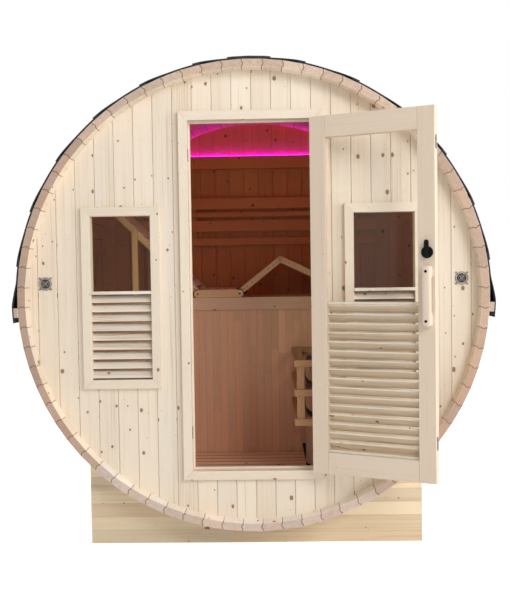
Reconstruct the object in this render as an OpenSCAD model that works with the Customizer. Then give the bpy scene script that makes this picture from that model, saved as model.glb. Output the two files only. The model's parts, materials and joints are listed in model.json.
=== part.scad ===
// Outdoor barrel sauna with an open glazed door.
// Millimetres. +X right, +Y to the back, +Z up, ground at z = 0, origin under the middle of the barrel.

/* [Barrel] */
// Outer diameter of the stave barrel, flat to flat
barrel_d = 2100; // [1900:10:2400]
// Length of the staves
barrel_len = 1590; // [1450:10:2400]
// Number of staves, shared out over four sides
stave_count = 72; // [64:8:80]
// Thickness of a stave
stave_t = 36; // [28:1:48]
// Turn of the stave joints from upright, degrees
stave_turn = 0.65; // [0:0.05:2]
// Radius of the bead along a stave edge
bead_r = 14; // [10:0.5:16]
// How far the bead centre lies inside the joint
bead_back = 8.5; // [6:0.5:10]
// Height of the barrel above the ground
barrel_lift = 90; // [60:5:160]

/* [End walls] */
// Thickness of the end walls
wall_t = 40; // [30:1:50]
// Recess of an end wall behind the stave ends
wall_inset = 67; // [50:1:120]
// Depth of the groove that holds an end wall
croze = 8; // [5:0.5:12]

/* [Doorway] */
// Clear width between the linings
door_w = 565; // [520:5:640]
// Wall left between the upper casing corners and the staves
head_clear = 118; // [80:1:220]
// Wall left between the lower casing corners and the staves
sill_clear = 124; // [80:1:220]
// Width of the face casings
casing_w = 41; // [30:1:60]
// Thickness of the face casings
casing_t = 21; // [15:1:30]
// Thickness of the linings
lining_t = 20; // [14:1:24]
// Width of the door stop
stop_w = 8; // [6:1:10]

/* [Door leaf] */
// Opening angle of the leaf as drawn, degrees
door_open = 155; // [90:1:165]
// Thickness of the leaf
leaf_t = 44; // [42:1:46]
// Gap round the leaf
leaf_gap = 5; // [5:0.5:6]
// Width of the stiles
stile_w = 73; // [70:1:90]
// Width of the top and bottom rails
rail_w = 94; // [70:1:120]
// Number of louvre slats in the leaf
door_slats = 16; // [14:1:17]
// Height of the louvred part of the leaf
door_louvre_h = 646; // [620:1:670]
// Length of the bar handles
handle_len = 258; // [220:1:300]
// Width of the bar handles
handle_w = 38; // [32:1:38]
// Height of the bar handles off the leaf
handle_out = 42; // [38:1:43]
// Height of the latch over the barrel axis
latch_up = 186; // [170:1:220]

/* [Windows] */
// Outer width of a window casing
window_w = 354; // [320:1:380]
// Outer height of a window casing
window_h = 822; // [700:1:860]
// Wall between the door casing and a window casing
window_gap = 92.5; // [60:0.5:140]
// Height of the window middle over the barrel axis
window_up = 3; // [-20:1:40]
// Number of louvre slats in a window
window_slats = 9; // [8:1:10]
// Height of the louvred part of a window
window_louvre_h = 386; // [350:1:400]

/* [Louvres] */
// Width of a louvre slat
slat_w = 41.5; // [36:0.5:42]
// Thickness of a louvre slat
slat_t = 7; // [5:0.5:7]
// Tilt of the louvre slats, degrees
slat_tilt = 52; // [51:1:58]
// Thickness of the glass
glass_t = 5; // [4:0.5:6]

/* [Roof] */
// Angle from the top to the eave, degrees
eave_angle = 95.4; // [88:0.1:100]
// Courses of shingles on a side
courses = 7; // [6:1:9]
// Thickness of the shingles
shingle_t = 5; // [4:0.5:7]
// Thickness of the eave batten
batten_t = 19; // [14:1:24]
// Height of the eave batten
batten_h = 42; // [30:1:50]

/* [Cradles] */
// Width of a cradle as a share of the barrel diameter
cradle_share = 0.7295; // [0.65:0.0005:0.78]
// Thickness of a cradle
cradle_t = 45; // [36:1:60]
// Distance of the front cradle behind the stave ends
cradle_inset = 120; // [90:1:200]

/* [Inside] */
// Height of the floor over the lowest stave
floor_rise = 141; // [110:1:200]
// Distance of the bench front in front of the back wall
bench_depth = 663; // [600:1:700]
// Height of the bench top below the barrel axis
bench_down = 28; // [0:1:60]
// Height of the apron along the bench front
apron_h = 69; // [50:1:90]
// Angle of the lounger back, degrees
back_angle = 44.7; // [35:0.1:50]
// Angle of the lounger thigh part, degrees
thigh_angle = 38.4; // [30:0.1:42]
// Angle of the lounger calf part, degrees
calf_angle = 25.7; // [20:0.1:28]
// Radius of the heater drum
heater_r = 150; // [130:1:155]

/* [Hidden] */
$fn = 96;
fit = 0.3;
seat = 0.8;
run = 5;
skin = 1;
barrel_r = barrel_d / 2;
room_r = barrel_r - stave_t;
axis_z = barrel_r + barrel_lift;
stave_pitch = 360 / stave_count;
half_pitch = stave_pitch / 2;
side_staves = stave_count / 4;
corner_r = barrel_r / cos(half_pitch);
bead_at = room_r + stave_t / 2;
y_rim = -barrel_len / 2;
y_wall = y_rim + wall_inset;
y_in = y_wall + wall_t;
y_back_in = -y_in;
wall_r = room_r + croze - 2 * fit;
y_casing = y_wall - casing_t;
casing_half = door_w / 2 + casing_w;
door_top = sqrt(pow(room_r - head_clear, 2) - pow(casing_half, 2)) - casing_w;
door_low = sqrt(pow(room_r - sill_clear, 2) - pow(casing_half, 2)) - casing_w;
door_h = door_top + door_low;
door_z = axis_z + (door_top - door_low) / 2;
cut_w = door_w + 2 * lining_t + 2 * fit;
cut_h = door_h + 2 * lining_t + 2 * fit;

leaf_w = door_w - 2 * leaf_gap;
leaf_h = door_h - 2 * leaf_gap;
y_leaf = y_casing;
y_leaf_in = y_leaf + leaf_t;
y_stop = y_leaf_in + leaf_gap;
pin_out = 7.5;
pin_x = door_w / 2 - leaf_gap / 2;
pin_y = y_casing - pin_out;
barrel_pin_r = 6;
pin_r = 3;
pin_fit = 0.15;
hinge_h = 80;
hinge_gap = 1;
hinge_plate_t = 2;
hinge_plate_w = 30;
hinge_end = 160;
glass_in = 6;
groove = 8;
slat_depth = slat_w * cos(slat_tilt) + slat_t * sin(slat_tilt);
ledge_h = 15;
louvre_low = 11;
door_ledge_h = 9;
pane_w = leaf_w - 2 * stile_w;
pane_h = leaf_h - 2 * rail_w;
y_door_glass = y_leaf_in - glass_in - glass_t;
y_door_slat = y_door_glass - skin - slat_depth / 2;
z_leaf = door_z - leaf_h / 2;
handle_edge = 11.5;
handle_x = -leaf_w / 2 + handle_edge + handle_w / 2;
handle_up = 4;
handle_gap = 21;
handle_foot = 44;
handle_flare = 26;
handle_ease = 5;
latch_edge = 36;
latch_x = -pin_x + latch_edge;
latch_z = axis_z + latch_up;
rose_r = 25;
rose_t = 6;
lever_w = 18;
lever_len = 52;
lever_tail = 22;
lever_t = 14;
spindle_r = 6;

win_in_w = window_w - 2 * casing_w;
win_in_h = window_h - 2 * casing_w;
win_lining = 14;
win_hole_w = win_in_w + 2 * win_lining + 2 * fit;
win_hole_h = win_in_h + 2 * win_lining + 2 * fit;
window_x = casing_half + window_gap + window_w / 2;
win_z = axis_z + window_up;
pane_back = 20;
y_win_glass = y_in - pane_back;
y_win_slat = y_win_glass - skin - slat_depth / 2;
ledge_out = 4;

vent_up = 72;
vent_clear = 71;
vent_x = sqrt(pow(room_r - vent_clear, 2) - pow(vent_up, 2));
vent_r = 22;
wire_r = 1.5;
ring_step = 7;
rings = 4;
vent_hold = 25;

band_t = 1;
band_w = 30;
band_y = 330;
roof_r = corner_r + band_t + 2 * fit;
course_step = eave_angle / courses;
lap = 2.2;
slope = 5.5;
eave_flat = 4.2;
course_cut = 1.1;
ridge_half = 5.2;

floor_down = room_r - floor_rise;
floor_z = axis_z - floor_down;
slab_t = 22;
floor_slats_n = 10;
floor_gap = 9;
floor_side = 14;
floor_half = sqrt(pow(room_r, 2) - pow(floor_down + slab_t, 2)) - floor_side;
joist_w = 45;
joist_x = 250;
y_bench = y_back_in - bench_depth;
bench_z = axis_z - bench_down;
bench_panel_t = 20;
apron_t = 27;
bench_slats_n = 7;
bench_gap = 8;
bench_slat_t = 24;
bench_side = 10;
bearer_h = 70;
bearer_x = 560;

rail_t = 22;
rest_z = [[271, 44], [355, 69], [444, 29], [493, 67]];
rest_top = rest_z[3][0] + rest_z[3][1];
rest_side = 105;
rest_half = sqrt(pow(room_r, 2) - pow(rest_top, 2)) - rest_side;
rest_stiles = [-386, 16, 418];
rest_stile_w = 30;
cove_h = 76;
cove_drop = 277;
cove_low = room_r - cove_drop;
cove_side = 36;
cove_half = sqrt(pow(room_r, 2) - pow(cove_low + cove_h, 2)) - cove_side;
cove_off = 40;
cove_t = 18;
led_h = 12;
led_t = 4;

lounge_front = 5;
lounge_rear = 14;
lounge_half = (bench_depth - lounge_front - 2 * rail_t - lounge_rear) / 2;
lounge_y = y_bench + lounge_front + lounge_half;
bar_t = 25;
bar_r = 16;
layer = bar_t + run;
lounge_lift = 11;
lounge_z = bench_z + lounge_lift + bar_r;
seat_left = -0.312 * room_r;
seat_right = -0.087 * room_r;
back_len = 0.68 * room_r;
thigh_len = 0.281 * room_r;
knee_x = seat_right + thigh_len * cos(thigh_angle);
knee_up = thigh_len * sin(thigh_angle);
calf_len = (knee_up + lounge_lift - run) / sin(calf_angle);
bolt_r = 5;
bolt_head_r = 9;
bolt_head_t = 4;
lath_t = 14;
lath_sink = 0.5;
lath_w = 46;
lath_step = 56;
lath_in = 36;
prop_at = 0.471 * room_r;
prop_w = 28;
prop_clear = 1;

heater_show = 38.5;
heater_x = door_w / 2 - heater_show + heater_r;
heater_off = 143;
heater_y = y_in + heater_off + heater_r;
heater_low = 45;
heater_h = 528;
heater_top = floor_z + heater_h;
heater_wall = 4;
foot_r = 10;
foot_at = 60;
stone_rise = 45;
stone_sink = 60;
guard_show = 95.5;
guard_x = door_w / 2 - guard_show;
guard_off = 46;
guard_y = y_in + guard_off;
guard_t = 22;
guard_h = 31;
guard_low = [267, 405, 542];
guard_run = 413;
guard_right = guard_x + guard_run;
guard_post = 35;
guard_block_x = casing_half + guard_t / 3;

// Extrudes a drawing in x and z from y0 to y1.
module along_y(y0, y1) {
    translate([0, y1, 0])
        rotate([90, 0, 0])
            linear_extrude(height = y1 - y0)
                children();
}

// A box given by its two corners.
module box(a, b) {
    translate(a)
        cube(b - a);
}

// A disc across the barrel from y0 to y1.
module disc(r, y0, y1) {
    along_y(y0, y1)
        translate([0, axis_z])
            circle(r = r);
}

// A round rod along y, centred in x and z.
module rod(x, z, r, y0, y1) {
    translate([x, y0, z])
        rotate([-90, 0, 0])
            cylinder(r = r, h = y1 - y0);
}

// Section of one stave pointing up from the barrel axis: flats, a bead on one edge and a cove on the other.
module stave_section() {
    inner = room_r * tan(half_pitch) - fit / 2;
    outer = barrel_r * tan(half_pitch) - fit / 2;
    bead_x = bead_at * sin(half_pitch) - bead_back * cos(half_pitch);
    bead_z = bead_at * cos(half_pitch) + bead_back * sin(half_pitch);
    cove_x = -bead_at * sin(half_pitch) - bead_back * cos(half_pitch);
    cove_z = bead_at * cos(half_pitch) - bead_back * sin(half_pitch);
    difference() {
        union() {
            polygon([[-inner, room_r], [inner, room_r], [outer, barrel_r], [-outer, barrel_r]]);
            translate([bead_x, bead_z])
                circle(r = bead_r);
        }
        translate([cove_x, cove_z])
            circle(r = bead_r + fit);
    }
}

// One stave with its two wall grooves, pointing up from the origin.
module stave() {
    wide = stave_pitch * barrel_r / 60;
    difference() {
        along_y(y_rim, -y_rim)
            stave_section();
        for (y = [y_wall, y_back_in])
            box([-wide, y - fit, room_r - croze], [wide, y + wall_t + fit, room_r + croze]);
    }
}

// The staves of one side, counted clockwise from the first.
module stave_side(first) {
    color("BurlyWood")
        translate([0, 0, axis_z])
            for (i = [first : first + side_staves - 1])
                rotate([0, stave_turn + i * stave_pitch, 0])
                    stave();
}

module floor_staves() {
    stave_side(side_staves * 3 / 2);
}

module left_staves() {
    stave_side(side_staves * 5 / 2);
}

module right_staves() {
    stave_side(side_staves / 2);
}

module roof_staves() {
    stave_side(-side_staves / 2);
}

module hoop_bands() {
    color("Silver")
        for (y = [-band_y, band_y])
            translate([0, y + band_w / 2, axis_z])
                rotate([90, 0, 0])
                    difference() {
                        cylinder(r = corner_r + fit + band_t, h = band_w);
                        translate([0, 0, -skin])
                            cylinder(r = corner_r + fit, h = band_w + 2 * skin);
                    }
}

// The front wall beside the doorway, on the right.
module front_wall_side() {
    color("Wheat")
        difference() {
            disc(wall_r, y_wall, y_in);
            box([-barrel_r, y_wall - skin, 0], [cut_w / 2, y_in + skin, axis_z + barrel_r]);
            box([window_x - win_hole_w / 2, y_wall - skin, win_z - win_hole_h / 2],
                [window_x + win_hole_w / 2, y_in + skin, win_z + win_hole_h / 2]);
            rod(vent_x, axis_z + vent_up, vent_r, y_wall - skin, y_in + skin);
        }
}

module front_wall_right() {
    front_wall_side();
}

module front_wall_left() {
    mirror([1, 0, 0])
        front_wall_side();
}

module front_wall_over_door() {
    color("Wheat")
        intersection() {
            disc(wall_r, y_wall, y_in);
            box([-cut_w / 2 + fit, y_wall - skin, door_z + cut_h / 2],
                [cut_w / 2 - fit, y_in + skin, axis_z + barrel_r]);
        }
}

module front_wall_under_door() {
    color("Wheat")
        intersection() {
            disc(wall_r, y_wall, y_in);
            box([-cut_w / 2 + fit, y_wall - skin, 0],
                [cut_w / 2 - fit, y_in + skin, door_z - cut_h / 2]);
        }
}

module back_wall() {
    color("Wheat")
        disc(wall_r, y_back_in, y_back_in + wall_t);
}

// A mitred strip along x: n0 to n1 outward from the edge of an opening, y0 to y1 deep.
module mitred(half, n0, n1, y0, y1) {
    inside = half + n0 - fit / 2;
    outside = half + n1 - fit / 2;
    along_y(y0, y1)
        polygon([[-inside, n0], [inside, n0], [outside, n1], [-outside, n1]]);
}

// Casing, lining and stop of a side, with its edge at z = 0.
module frame_profile(half) {
    mitred(half, 0, casing_w, y_casing, y_wall);
    mitred(half, 0, lining_t, y_wall - casing_t / 2, y_in);
    mitred(half, -stop_w, lining_t / 2, y_stop, y_in);
}

module door_head() {
    color("Tan")
        translate([0, 0, door_z + door_h / 2])
            frame_profile(door_w / 2);
}

module door_sill() {
    color("Tan")
        translate([0, 0, door_z - door_h / 2])
            rotate([0, 180, 0])
                frame_profile(door_w / 2);
}

module door_jamb_right() {
    color("Tan")
        translate([door_w / 2, 0, door_z])
            rotate([0, 90, 0])
                frame_profile(door_h / 2);
}

module door_jamb_left() {
    color("Tan")
        translate([-door_w / 2, 0, door_z])
            rotate([0, -90, 0])
                frame_profile(door_h / 2);
}

// A block round a window middle.
module win_block(w, h, y0, y1) {
    box([window_x - w / 2, y0, win_z - h / 2], [window_x + w / 2, y1, win_z + h / 2]);
}

// Casing and lining of a window side, with its edge at z = 0 and a groove for the pane.
module window_profile(half) {
    difference() {
        union() {
            mitred(half, 0, casing_w, y_casing, y_wall);
            mitred(half, 0, win_lining, y_wall - casing_t / 2, y_in);
        }
        box([-half - groove, y_win_glass - fit, -skin], [half + groove, y_win_glass + glass_t + fit, groove]);
    }
}

// The four mitred sides of the right window frame.
module window_frame() {
    color("Tan")
        translate([window_x, 0, win_z])
            for (turn = [0, 180]) {
                rotate([0, turn, 0])
                    translate([0, 0, win_in_h / 2])
                        window_profile(win_in_w / 2);
                rotate([0, turn + 90, 0])
                    translate([0, 0, win_in_w / 2])
                        window_profile(win_in_h / 2);
            }
}

module right_window_frame() {
    window_frame();
}

module left_window_frame() {
    mirror([1, 0, 0])
        window_frame();
}

module window_glass() {
    color("DimGray")
        for (side = [0, 1])
            mirror([side, 0, 0])
                win_block(win_in_w + 2 * groove - 2 * fit, win_in_h + 2 * groove - 2 * fit,
                    y_win_glass, y_win_glass + glass_t);
}

// A louvre slat, outer edge low, centred on the origin.
module slat(len) {
    rotate([slat_tilt, 0, 0])
        cube([len, slat_w, slat_t], center = true);
}

module window_louvres() {
    low = win_z - win_in_h / 2;
    pitch = window_louvre_h / window_slats;
    len = win_in_w - 2 * fit;
    color("Tan")
        for (side = [-1, 1]) {
            for (k = [0 : window_slats - 1])
                translate([side * window_x, y_win_slat, low + (k + 0.5) * pitch])
                    slat(len);
            box([side * window_x - len / 2, y_casing - ledge_out, low + window_louvre_h],
                [side * window_x + len / 2, y_win_glass - skin, low + window_louvre_h + ledge_h]);
        }
}

// Wire guard of a vent: rings on two cross wires, held by four eyes.
module vent_guard() {
    out = rings * ring_step;
    rotate([90, 0, 0]) {
        for (k = [1 : rings])
            rotate_extrude()
                translate([k * ring_step, 2 * wire_r])
                    circle(r = wire_r);
        for (a = [45, 135])
            rotate([0, 0, a])
                translate([-vent_hold * sqrt(2), -wire_r, wire_r / 2])
                    cube([2 * vent_hold * sqrt(2), 2 * wire_r, 1.5 * wire_r]);
        for (x = [-vent_hold, vent_hold], y = [-vent_hold, vent_hold])
            translate([x, y, 0])
                cylinder(r = 3 * wire_r, h = 2 * wire_r);
    }
}

module vent_guards() {
    color("DarkGray")
        for (side = [-1, 1])
            translate([side * vent_x, y_wall, axis_z + vent_up])
                vent_guard();
}

// Swings pieces drawn with the door shut to the open place.
module swing() {
    translate([pin_x, pin_y, 0])
        rotate([0, 0, door_open])
            translate([-pin_x, -pin_y, 0])
                children();
}

// Room for the pane, cut into stiles and rails.
module pane_groove() {
    box([-pane_w / 2 - groove, y_door_glass - fit, z_leaf + rail_w - groove],
        [pane_w / 2 + groove, y_door_glass + glass_t + fit, z_leaf + leaf_h - rail_w + groove]);
}

module door_stiles() {
    color("Tan")
        swing()
            difference() {
                for (side = [0, 1])
                    mirror([side, 0, 0])
                        box([pane_w / 2, y_leaf, z_leaf], [leaf_w / 2, y_leaf_in, z_leaf + leaf_h]);
                pane_groove();
            }
}

module door_rails() {
    color("Tan")
        swing()
            difference() {
                for (z = [z_leaf, z_leaf + leaf_h - rail_w])
                    box([-pane_w / 2 + fit, y_leaf, z], [pane_w / 2 - fit, y_leaf_in, z + rail_w]);
                pane_groove();
            }
}

module door_glass() {
    edge = groove - fit;
    color("LightSteelBlue")
        swing()
            box([-pane_w / 2 - edge, y_door_glass, z_leaf + rail_w - edge],
                [pane_w / 2 + edge, y_door_glass + glass_t, z_leaf + leaf_h - rail_w + edge]);
}

module door_louvres() {
    low = z_leaf + rail_w;
    pitch = door_louvre_h / door_slats;
    len = pane_w - 2 * fit;
    color("Tan")
        swing() {
            for (k = [0 : door_slats - 1])
                translate([0, y_door_slat, low + louvre_low + (k + 0.5) * pitch])
                    slat(len);
            box([-len / 2, y_leaf + skin, low + fit], [len / 2, y_door_glass - skin, low + louvre_low]);
            box([-len / 2, y_leaf + skin, low + louvre_low + door_louvre_h],
                [len / 2, y_door_glass - skin, low + louvre_low + door_louvre_h + door_ledge_h]);
        }
}

// Bar of a handle with round ends, out from a face at y = 0 and narrower by inset all round.
module handle_bar(inset, out) {
    half = (handle_len - handle_w) / 2;
    r = handle_w / 2 - inset;
    box([-r, 0, -half], [r, out, half]);
    rod(0, half, r, 0, out);
    rod(0, -half, r, 0, out);
}

// Side view of the finger gap, with its feet flaring out to the face.
module finger_gap() {
    high = handle_len / 2 - handle_foot;
    rotate([90, 0, 90])
        linear_extrude(height = 2 * handle_w, center = true)
            polygon([[-skin, -high], [0, -high], [handle_gap, handle_flare - high], [handle_gap, high - handle_gap / 2],
                [0, high], [-skin, high]]);
}

// Bar handle with eased edges and a finger gap, standing off a face at y = 0 towards +y.
module bar_handle() {
    difference() {
        union() {
            handle_bar(0, handle_out - handle_ease);
            handle_bar(handle_ease / 2, handle_out - handle_ease / 3);
            handle_bar(handle_ease, handle_out);
        }
        finger_gap();
    }
}

module door_handle_inside() {
    color("SaddleBrown")
        swing()
            translate([handle_x, y_leaf_in, axis_z + handle_up])
                bar_handle();
}

module door_handle_outside() {
    color("SaddleBrown")
        swing()
            translate([handle_x, y_leaf, axis_z + handle_up])
                mirror([0, 1, 0])
                    bar_handle();
}

hinge_zs = [z_leaf + hinge_end, z_leaf + leaf_h / 2, z_leaf + leaf_h - hinge_end];

// Lift-off hinges, lower halves with the pins, on the casing.
module frame_hinges() {
    color("Silver")
        for (z = hinge_zs)
            translate([pin_x, 0, z]) {
                translate([0, pin_y, -hinge_h / 2])
                    cylinder(r = barrel_pin_r, h = hinge_h / 2 - hinge_gap);
                translate([0, pin_y, -hinge_h / 2])
                    cylinder(r = pin_r, h = hinge_h - 2 * hinge_gap);
                box([leaf_gap, y_casing - hinge_plate_t, -hinge_h / 2],
                    [leaf_gap + hinge_plate_w, y_casing, hinge_h / 2]);
                box([0, y_casing - hinge_plate_t, -hinge_h / 2],
                    [leaf_gap + skin, y_casing - hinge_plate_t / 8, -hinge_gap]);
            }
}

// Upper halves with the bores, on the leaf.
module door_hinges() {
    color("Silver")
        swing()
            for (z = hinge_zs)
                translate([pin_x, 0, z])
                    difference() {
                        union() {
                            translate([0, pin_y, 0])
                                cylinder(r = barrel_pin_r, h = hinge_h / 2);
                            box([-leaf_gap - hinge_plate_w, y_leaf - hinge_plate_t, -hinge_h / 2],
                                [-leaf_gap, y_leaf, hinge_h / 2]);
                            box([-leaf_gap - skin, y_leaf - hinge_plate_t, 0],
                                [0, y_leaf - hinge_plate_t / 8, hinge_h / 2]);
                        }
                        translate([0, pin_y, -skin])
                            cylinder(r = pin_r + pin_fit, h = hinge_h / 2);
                    }
}

module latch_rose() {
    color("Black")
        swing()
            difference() {
                rod(latch_x, latch_z, rose_r, y_leaf_in, y_leaf_in + rose_t);
                rod(latch_x, latch_z, spindle_r + fit, y_leaf_in + skin, y_leaf_in + rose_t + skin);
            }
}

module latch_lever() {
    y0 = y_leaf_in + rose_t + skin;
    tip = latch_z + lever_len - lever_w / 2;
    tail = latch_z - lever_tail + lever_w / 2;
    color("Black")
        swing() {
            rod(latch_x, latch_z, spindle_r, y_leaf_in + 2 * skin, y0 + skin);
            rod(latch_x, tail, lever_w / 2, y0, y0 + lever_t);
            box([latch_x - lever_w / 2, y0, tail], [latch_x + lever_w / 2, y0 + lever_t, tip]);
            rod(latch_x, tip, lever_w / 2, y0, y0 + lever_t);
        }
}

// Height of the underside of a course over the roof bed, a degrees up from its lower edge.
function bed(a, rise, flat) = a < flat ? rise : max(0, rise * (1 - (a - flat) / slope));

// Section of a course on the right side: low is the angle of its lower edge from the top.
module course(low, high, rise, flat) {
    steps = ceil((low - high) / course_cut);
    turn = [for (i = [0 : steps]) low - i * (low - high) / steps];
    under = [for (a = turn) roof_r + bed(low - a, rise, flat)];
    inner = [for (i = [0 : steps]) [under[i] * sin(turn[i]), under[i] * cos(turn[i])]];
    outer = [for (i = [steps : -1 : 0])
        [(under[i] + shingle_t) * sin(turn[i]), (under[i] + shingle_t) * cos(turn[i])]];
    along_y(y_rim, -y_rim)
        translate([0, axis_z])
            polygon(concat(inner, outer));
}

module shingle_side() {
    color("DarkSlateGray")
        for (k = [0 : courses - 1]) {
            low = eave_angle - k * course_step;
            high = max(low - course_step - lap + 0.3, 0.05);
            if (k == 0)
                course(low, high, batten_t, eave_flat);
            else
                course(low, high, shingle_t + fit, lap);
        }
}

module right_shingles() {
    shingle_side();
}

module left_shingles() {
    mirror([1, 0, 0])
        shingle_side();
}

module ridge_cap() {
    rise = roof_r + shingle_t + seat;
    color("DarkSlateGray")
        along_y(y_rim, -y_rim)
            translate([0, axis_z])
                intersection() {
                    difference() {
                        circle(r = rise + shingle_t);
                        circle(r = rise);
                    }
                    polygon([[0, 0], [barrel_d * sin(ridge_half), barrel_d], [-barrel_d * sin(ridge_half), barrel_d]]);
                }
}

module eave_battens() {
    color("Peru")
        for (side = [0, 1])
            mirror([side, 0, 0])
                difference() {
                    translate([0, 0, axis_z])
                        rotate([0, eave_angle - eave_flat / 2 - fit, 0])
                            box([-batten_h / 2, y_rim, corner_r + fit],
                                [batten_h / 2, -y_rim, roof_r + batten_t - 2 * fit]);
                    for (y = [-band_y, band_y])
                        disc(corner_r + band_t + 3 * fit, y - band_w / 2 - skin, y + band_w / 2 + skin);
                }
}

module cradles() {
    y_front = y_rim + cradle_inset;
    color("Goldenrod")
        for (y = [y_front, -cradle_t / 2, -y_front - cradle_t])
            along_y(y, y + cradle_t)
                difference() {
                    translate([-cradle_share * barrel_r, 0])
                        square([cradle_share * barrel_d, axis_z / 2]);
                    translate([0, axis_z])
                        circle(r = corner_r + seat);
                }
}

module floor_slats() {
    room = y_bench - y_in - fit;
    pitch = room / floor_slats_n;
    color("Peru")
        for (k = [0 : floor_slats_n - 1])
            box([-floor_half, y_in + fit + k * pitch, floor_z - slab_t],
                [floor_half, y_in + fit + (k + 1) * pitch - floor_gap, floor_z]);
}

module floor_joists() {
    color("Peru")
        for (x = [-joist_x, 0, joist_x])
            along_y(y_in + fit, y_back_in - fit)
                intersection() {
                    translate([x - joist_w / 2, axis_z - room_r])
                        square([joist_w, room_r - floor_down - slab_t - fit]);
                    translate([0, axis_z])
                        circle(r = room_r - fit);
                }
}

module bench_front() {
    color("Peru")
        along_y(y_bench, y_bench + bench_panel_t)
            intersection() {
                translate([-barrel_r, floor_z - slab_t])
                    square([barrel_d, bench_z - apron_h - fit - floor_z + slab_t]);
                translate([0, axis_z])
                    circle(r = room_r - 2 * fit);
            }
}

module bench_apron() {
    color("Peru")
        along_y(y_bench - apron_t + bench_panel_t, y_bench + bench_panel_t)
            intersection() {
                translate([-barrel_r, bench_z - apron_h])
                    square([barrel_d, apron_h]);
                translate([0, axis_z])
                    circle(r = room_r - 2 * fit);
            }
}

module bench_top() {
    start = y_bench + bench_panel_t + fit;
    pitch = (y_back_in - start + bench_gap - fit) / bench_slats_n;
    half = room_r - bench_side;
    color("Peru")
        for (k = [0 : bench_slats_n - 1])
            box([-half, start + k * pitch, bench_z - bench_slat_t],
                [half, start + (k + 1) * pitch - bench_gap, bench_z]);
}

module bench_bearers() {
    top = bench_z - bench_slat_t - fit;
    color("Peru")
        for (x = [-bearer_x, 0, bearer_x])
            box([x - joist_w / 2, y_bench + bench_panel_t + fit, top - bearer_h],
                [x + joist_w / 2, y_back_in - fit, top]);
}

module backrest() {
    low = axis_z + rest_z[0][0];
    high = axis_z + rest_top;
    color("Peru") {
        for (r = rest_z)
            box([-rest_half, y_back_in - 2 * rail_t, axis_z + r[0]],
                [rest_half, y_back_in - rail_t + skin, axis_z + r[0] + r[1]]);
        for (x = rest_stiles)
            box([x - rest_stile_w / 2, y_back_in - rail_t, low], [x + rest_stile_w / 2, y_back_in - fit, high]);
    }
}

module cove_board() {
    y_board = y_back_in - cove_off;
    color("Peru") {
        box([-cove_half, y_board - cove_t, axis_z + cove_low], [cove_half, y_board, axis_z + cove_low + cove_h]);
        box([-cove_half, y_board - skin, axis_z + cove_low], [cove_half, y_back_in - fit, axis_z + cove_low + cove_t]);
    }
}

module led_strip() {
    y_board = y_back_in - cove_off;
    top = axis_z + cove_low + cove_h;
    color("Magenta")
        box([-cove_half + led_h, y_board + fit, top - 2 * led_h],
            [cove_half - led_h, y_board + fit + led_t, top - led_h]);
}

// A lounger bar with round ends, along +x from the origin, 0 to bar_t deep in y.
module bar(len) {
    box([0, 0, -bar_r], [len, bar_t, bar_r]);
    rod(0, 0, bar_r, 0, bar_t);
    rod(len, 0, bar_r, 0, bar_t);
}

// Two bars and the laths let in flush between them, along +x from the origin; inset 0 is the outer layer.
module lounge_part(len, inset, first, last) {
    depth = lounge_half - inset;
    count = floor((last - first - lath_w) / lath_step);
    translate([0, -depth, 0])
        bar(len);
    translate([0, depth - bar_t, 0])
        bar(len);
    for (k = [0 : count])
        box([first + k * lath_step, -depth + bar_t - skin, bar_r - lath_t],
            [first + k * lath_step + lath_w, depth - bar_t + skin, bar_r - lath_sink]);
}

// Bolts at a pivot, with the heads a little way off the outer layer.
module bolts(x, z, from, off) {
    for (side = [0, 1])
        mirror([0, side, 0]) {
            rod(x, z, bolt_r, from, lounge_half + off + bolt_head_t / 2);
            rod(x, z, bolt_head_r, lounge_half + off, lounge_half + off + bolt_head_t);
        }
}

// Bores for the bolts at a pivot.
module bores(x, z) {
    rod(x, z, bolt_r + fit, -lounge_half - skin, lounge_half + skin);
}

module lounger_seat() {
    len = seat_right - seat_left;
    color("Peru")
        translate([seat_left, lounge_y, lounge_z]) {
            lounge_part(len, 0, lath_in, len - lath_in / 2);
            for (x = [lath_in, len - 2 * lath_in], y = [-lounge_half, lounge_half - bar_t])
                box([x, y, -bar_r - lounge_lift], [x + lath_in, y + bar_t, -bar_r + skin]);
            bolts(0, 0, lounge_half - layer - bar_t, 0);
            bolts(len, 0, lounge_half - layer - bar_t, 0);
        }
}

module lounger_back() {
    color("Peru")
        translate([seat_left, lounge_y, lounge_z]) {
            difference() {
                rotate([0, back_angle, 0])
                    mirror([1, 0, 0])
                        lounge_part(back_len, layer, lath_in, back_len + bar_r);
                bores(0, 0);
            }
            x = -prop_at * cos(back_angle);
            z = prop_at * sin(back_angle);
            for (side = [0, 1])
                mirror([0, side, 0]) {
                    box([x - prop_w / 2, lounge_half - layer + fit, -bar_r - lounge_lift + prop_clear],
                        [x + prop_w / 2, lounge_half - run, z]);
                    rod(x, z, prop_w / 2, lounge_half - layer + fit, lounge_half - run);
                    rod(x, z, bolt_r, lounge_half - layer - bar_t / 2, lounge_half);
                }
        }
}

module lounger_thigh() {
    color("Peru")
        translate([seat_right, lounge_y, lounge_z])
            rotate([0, -thigh_angle, 0])
                difference() {
                    union() {
                        lounge_part(thigh_len, layer, lath_in, thigh_len - lath_in / 2);
                        bolts(thigh_len, 0, lounge_half - layer - bar_t / 2, fit);
                    }
                    bores(0, 0);
                }
}

module lounger_calf() {
    color("Peru")
        translate([knee_x, lounge_y, lounge_z + knee_up])
            rotate([0, calf_angle, 0])
                difference() {
                    lounge_part(calf_len, 0, lath_in, calf_len);
                    bores(0, 0);
                }
}

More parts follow.
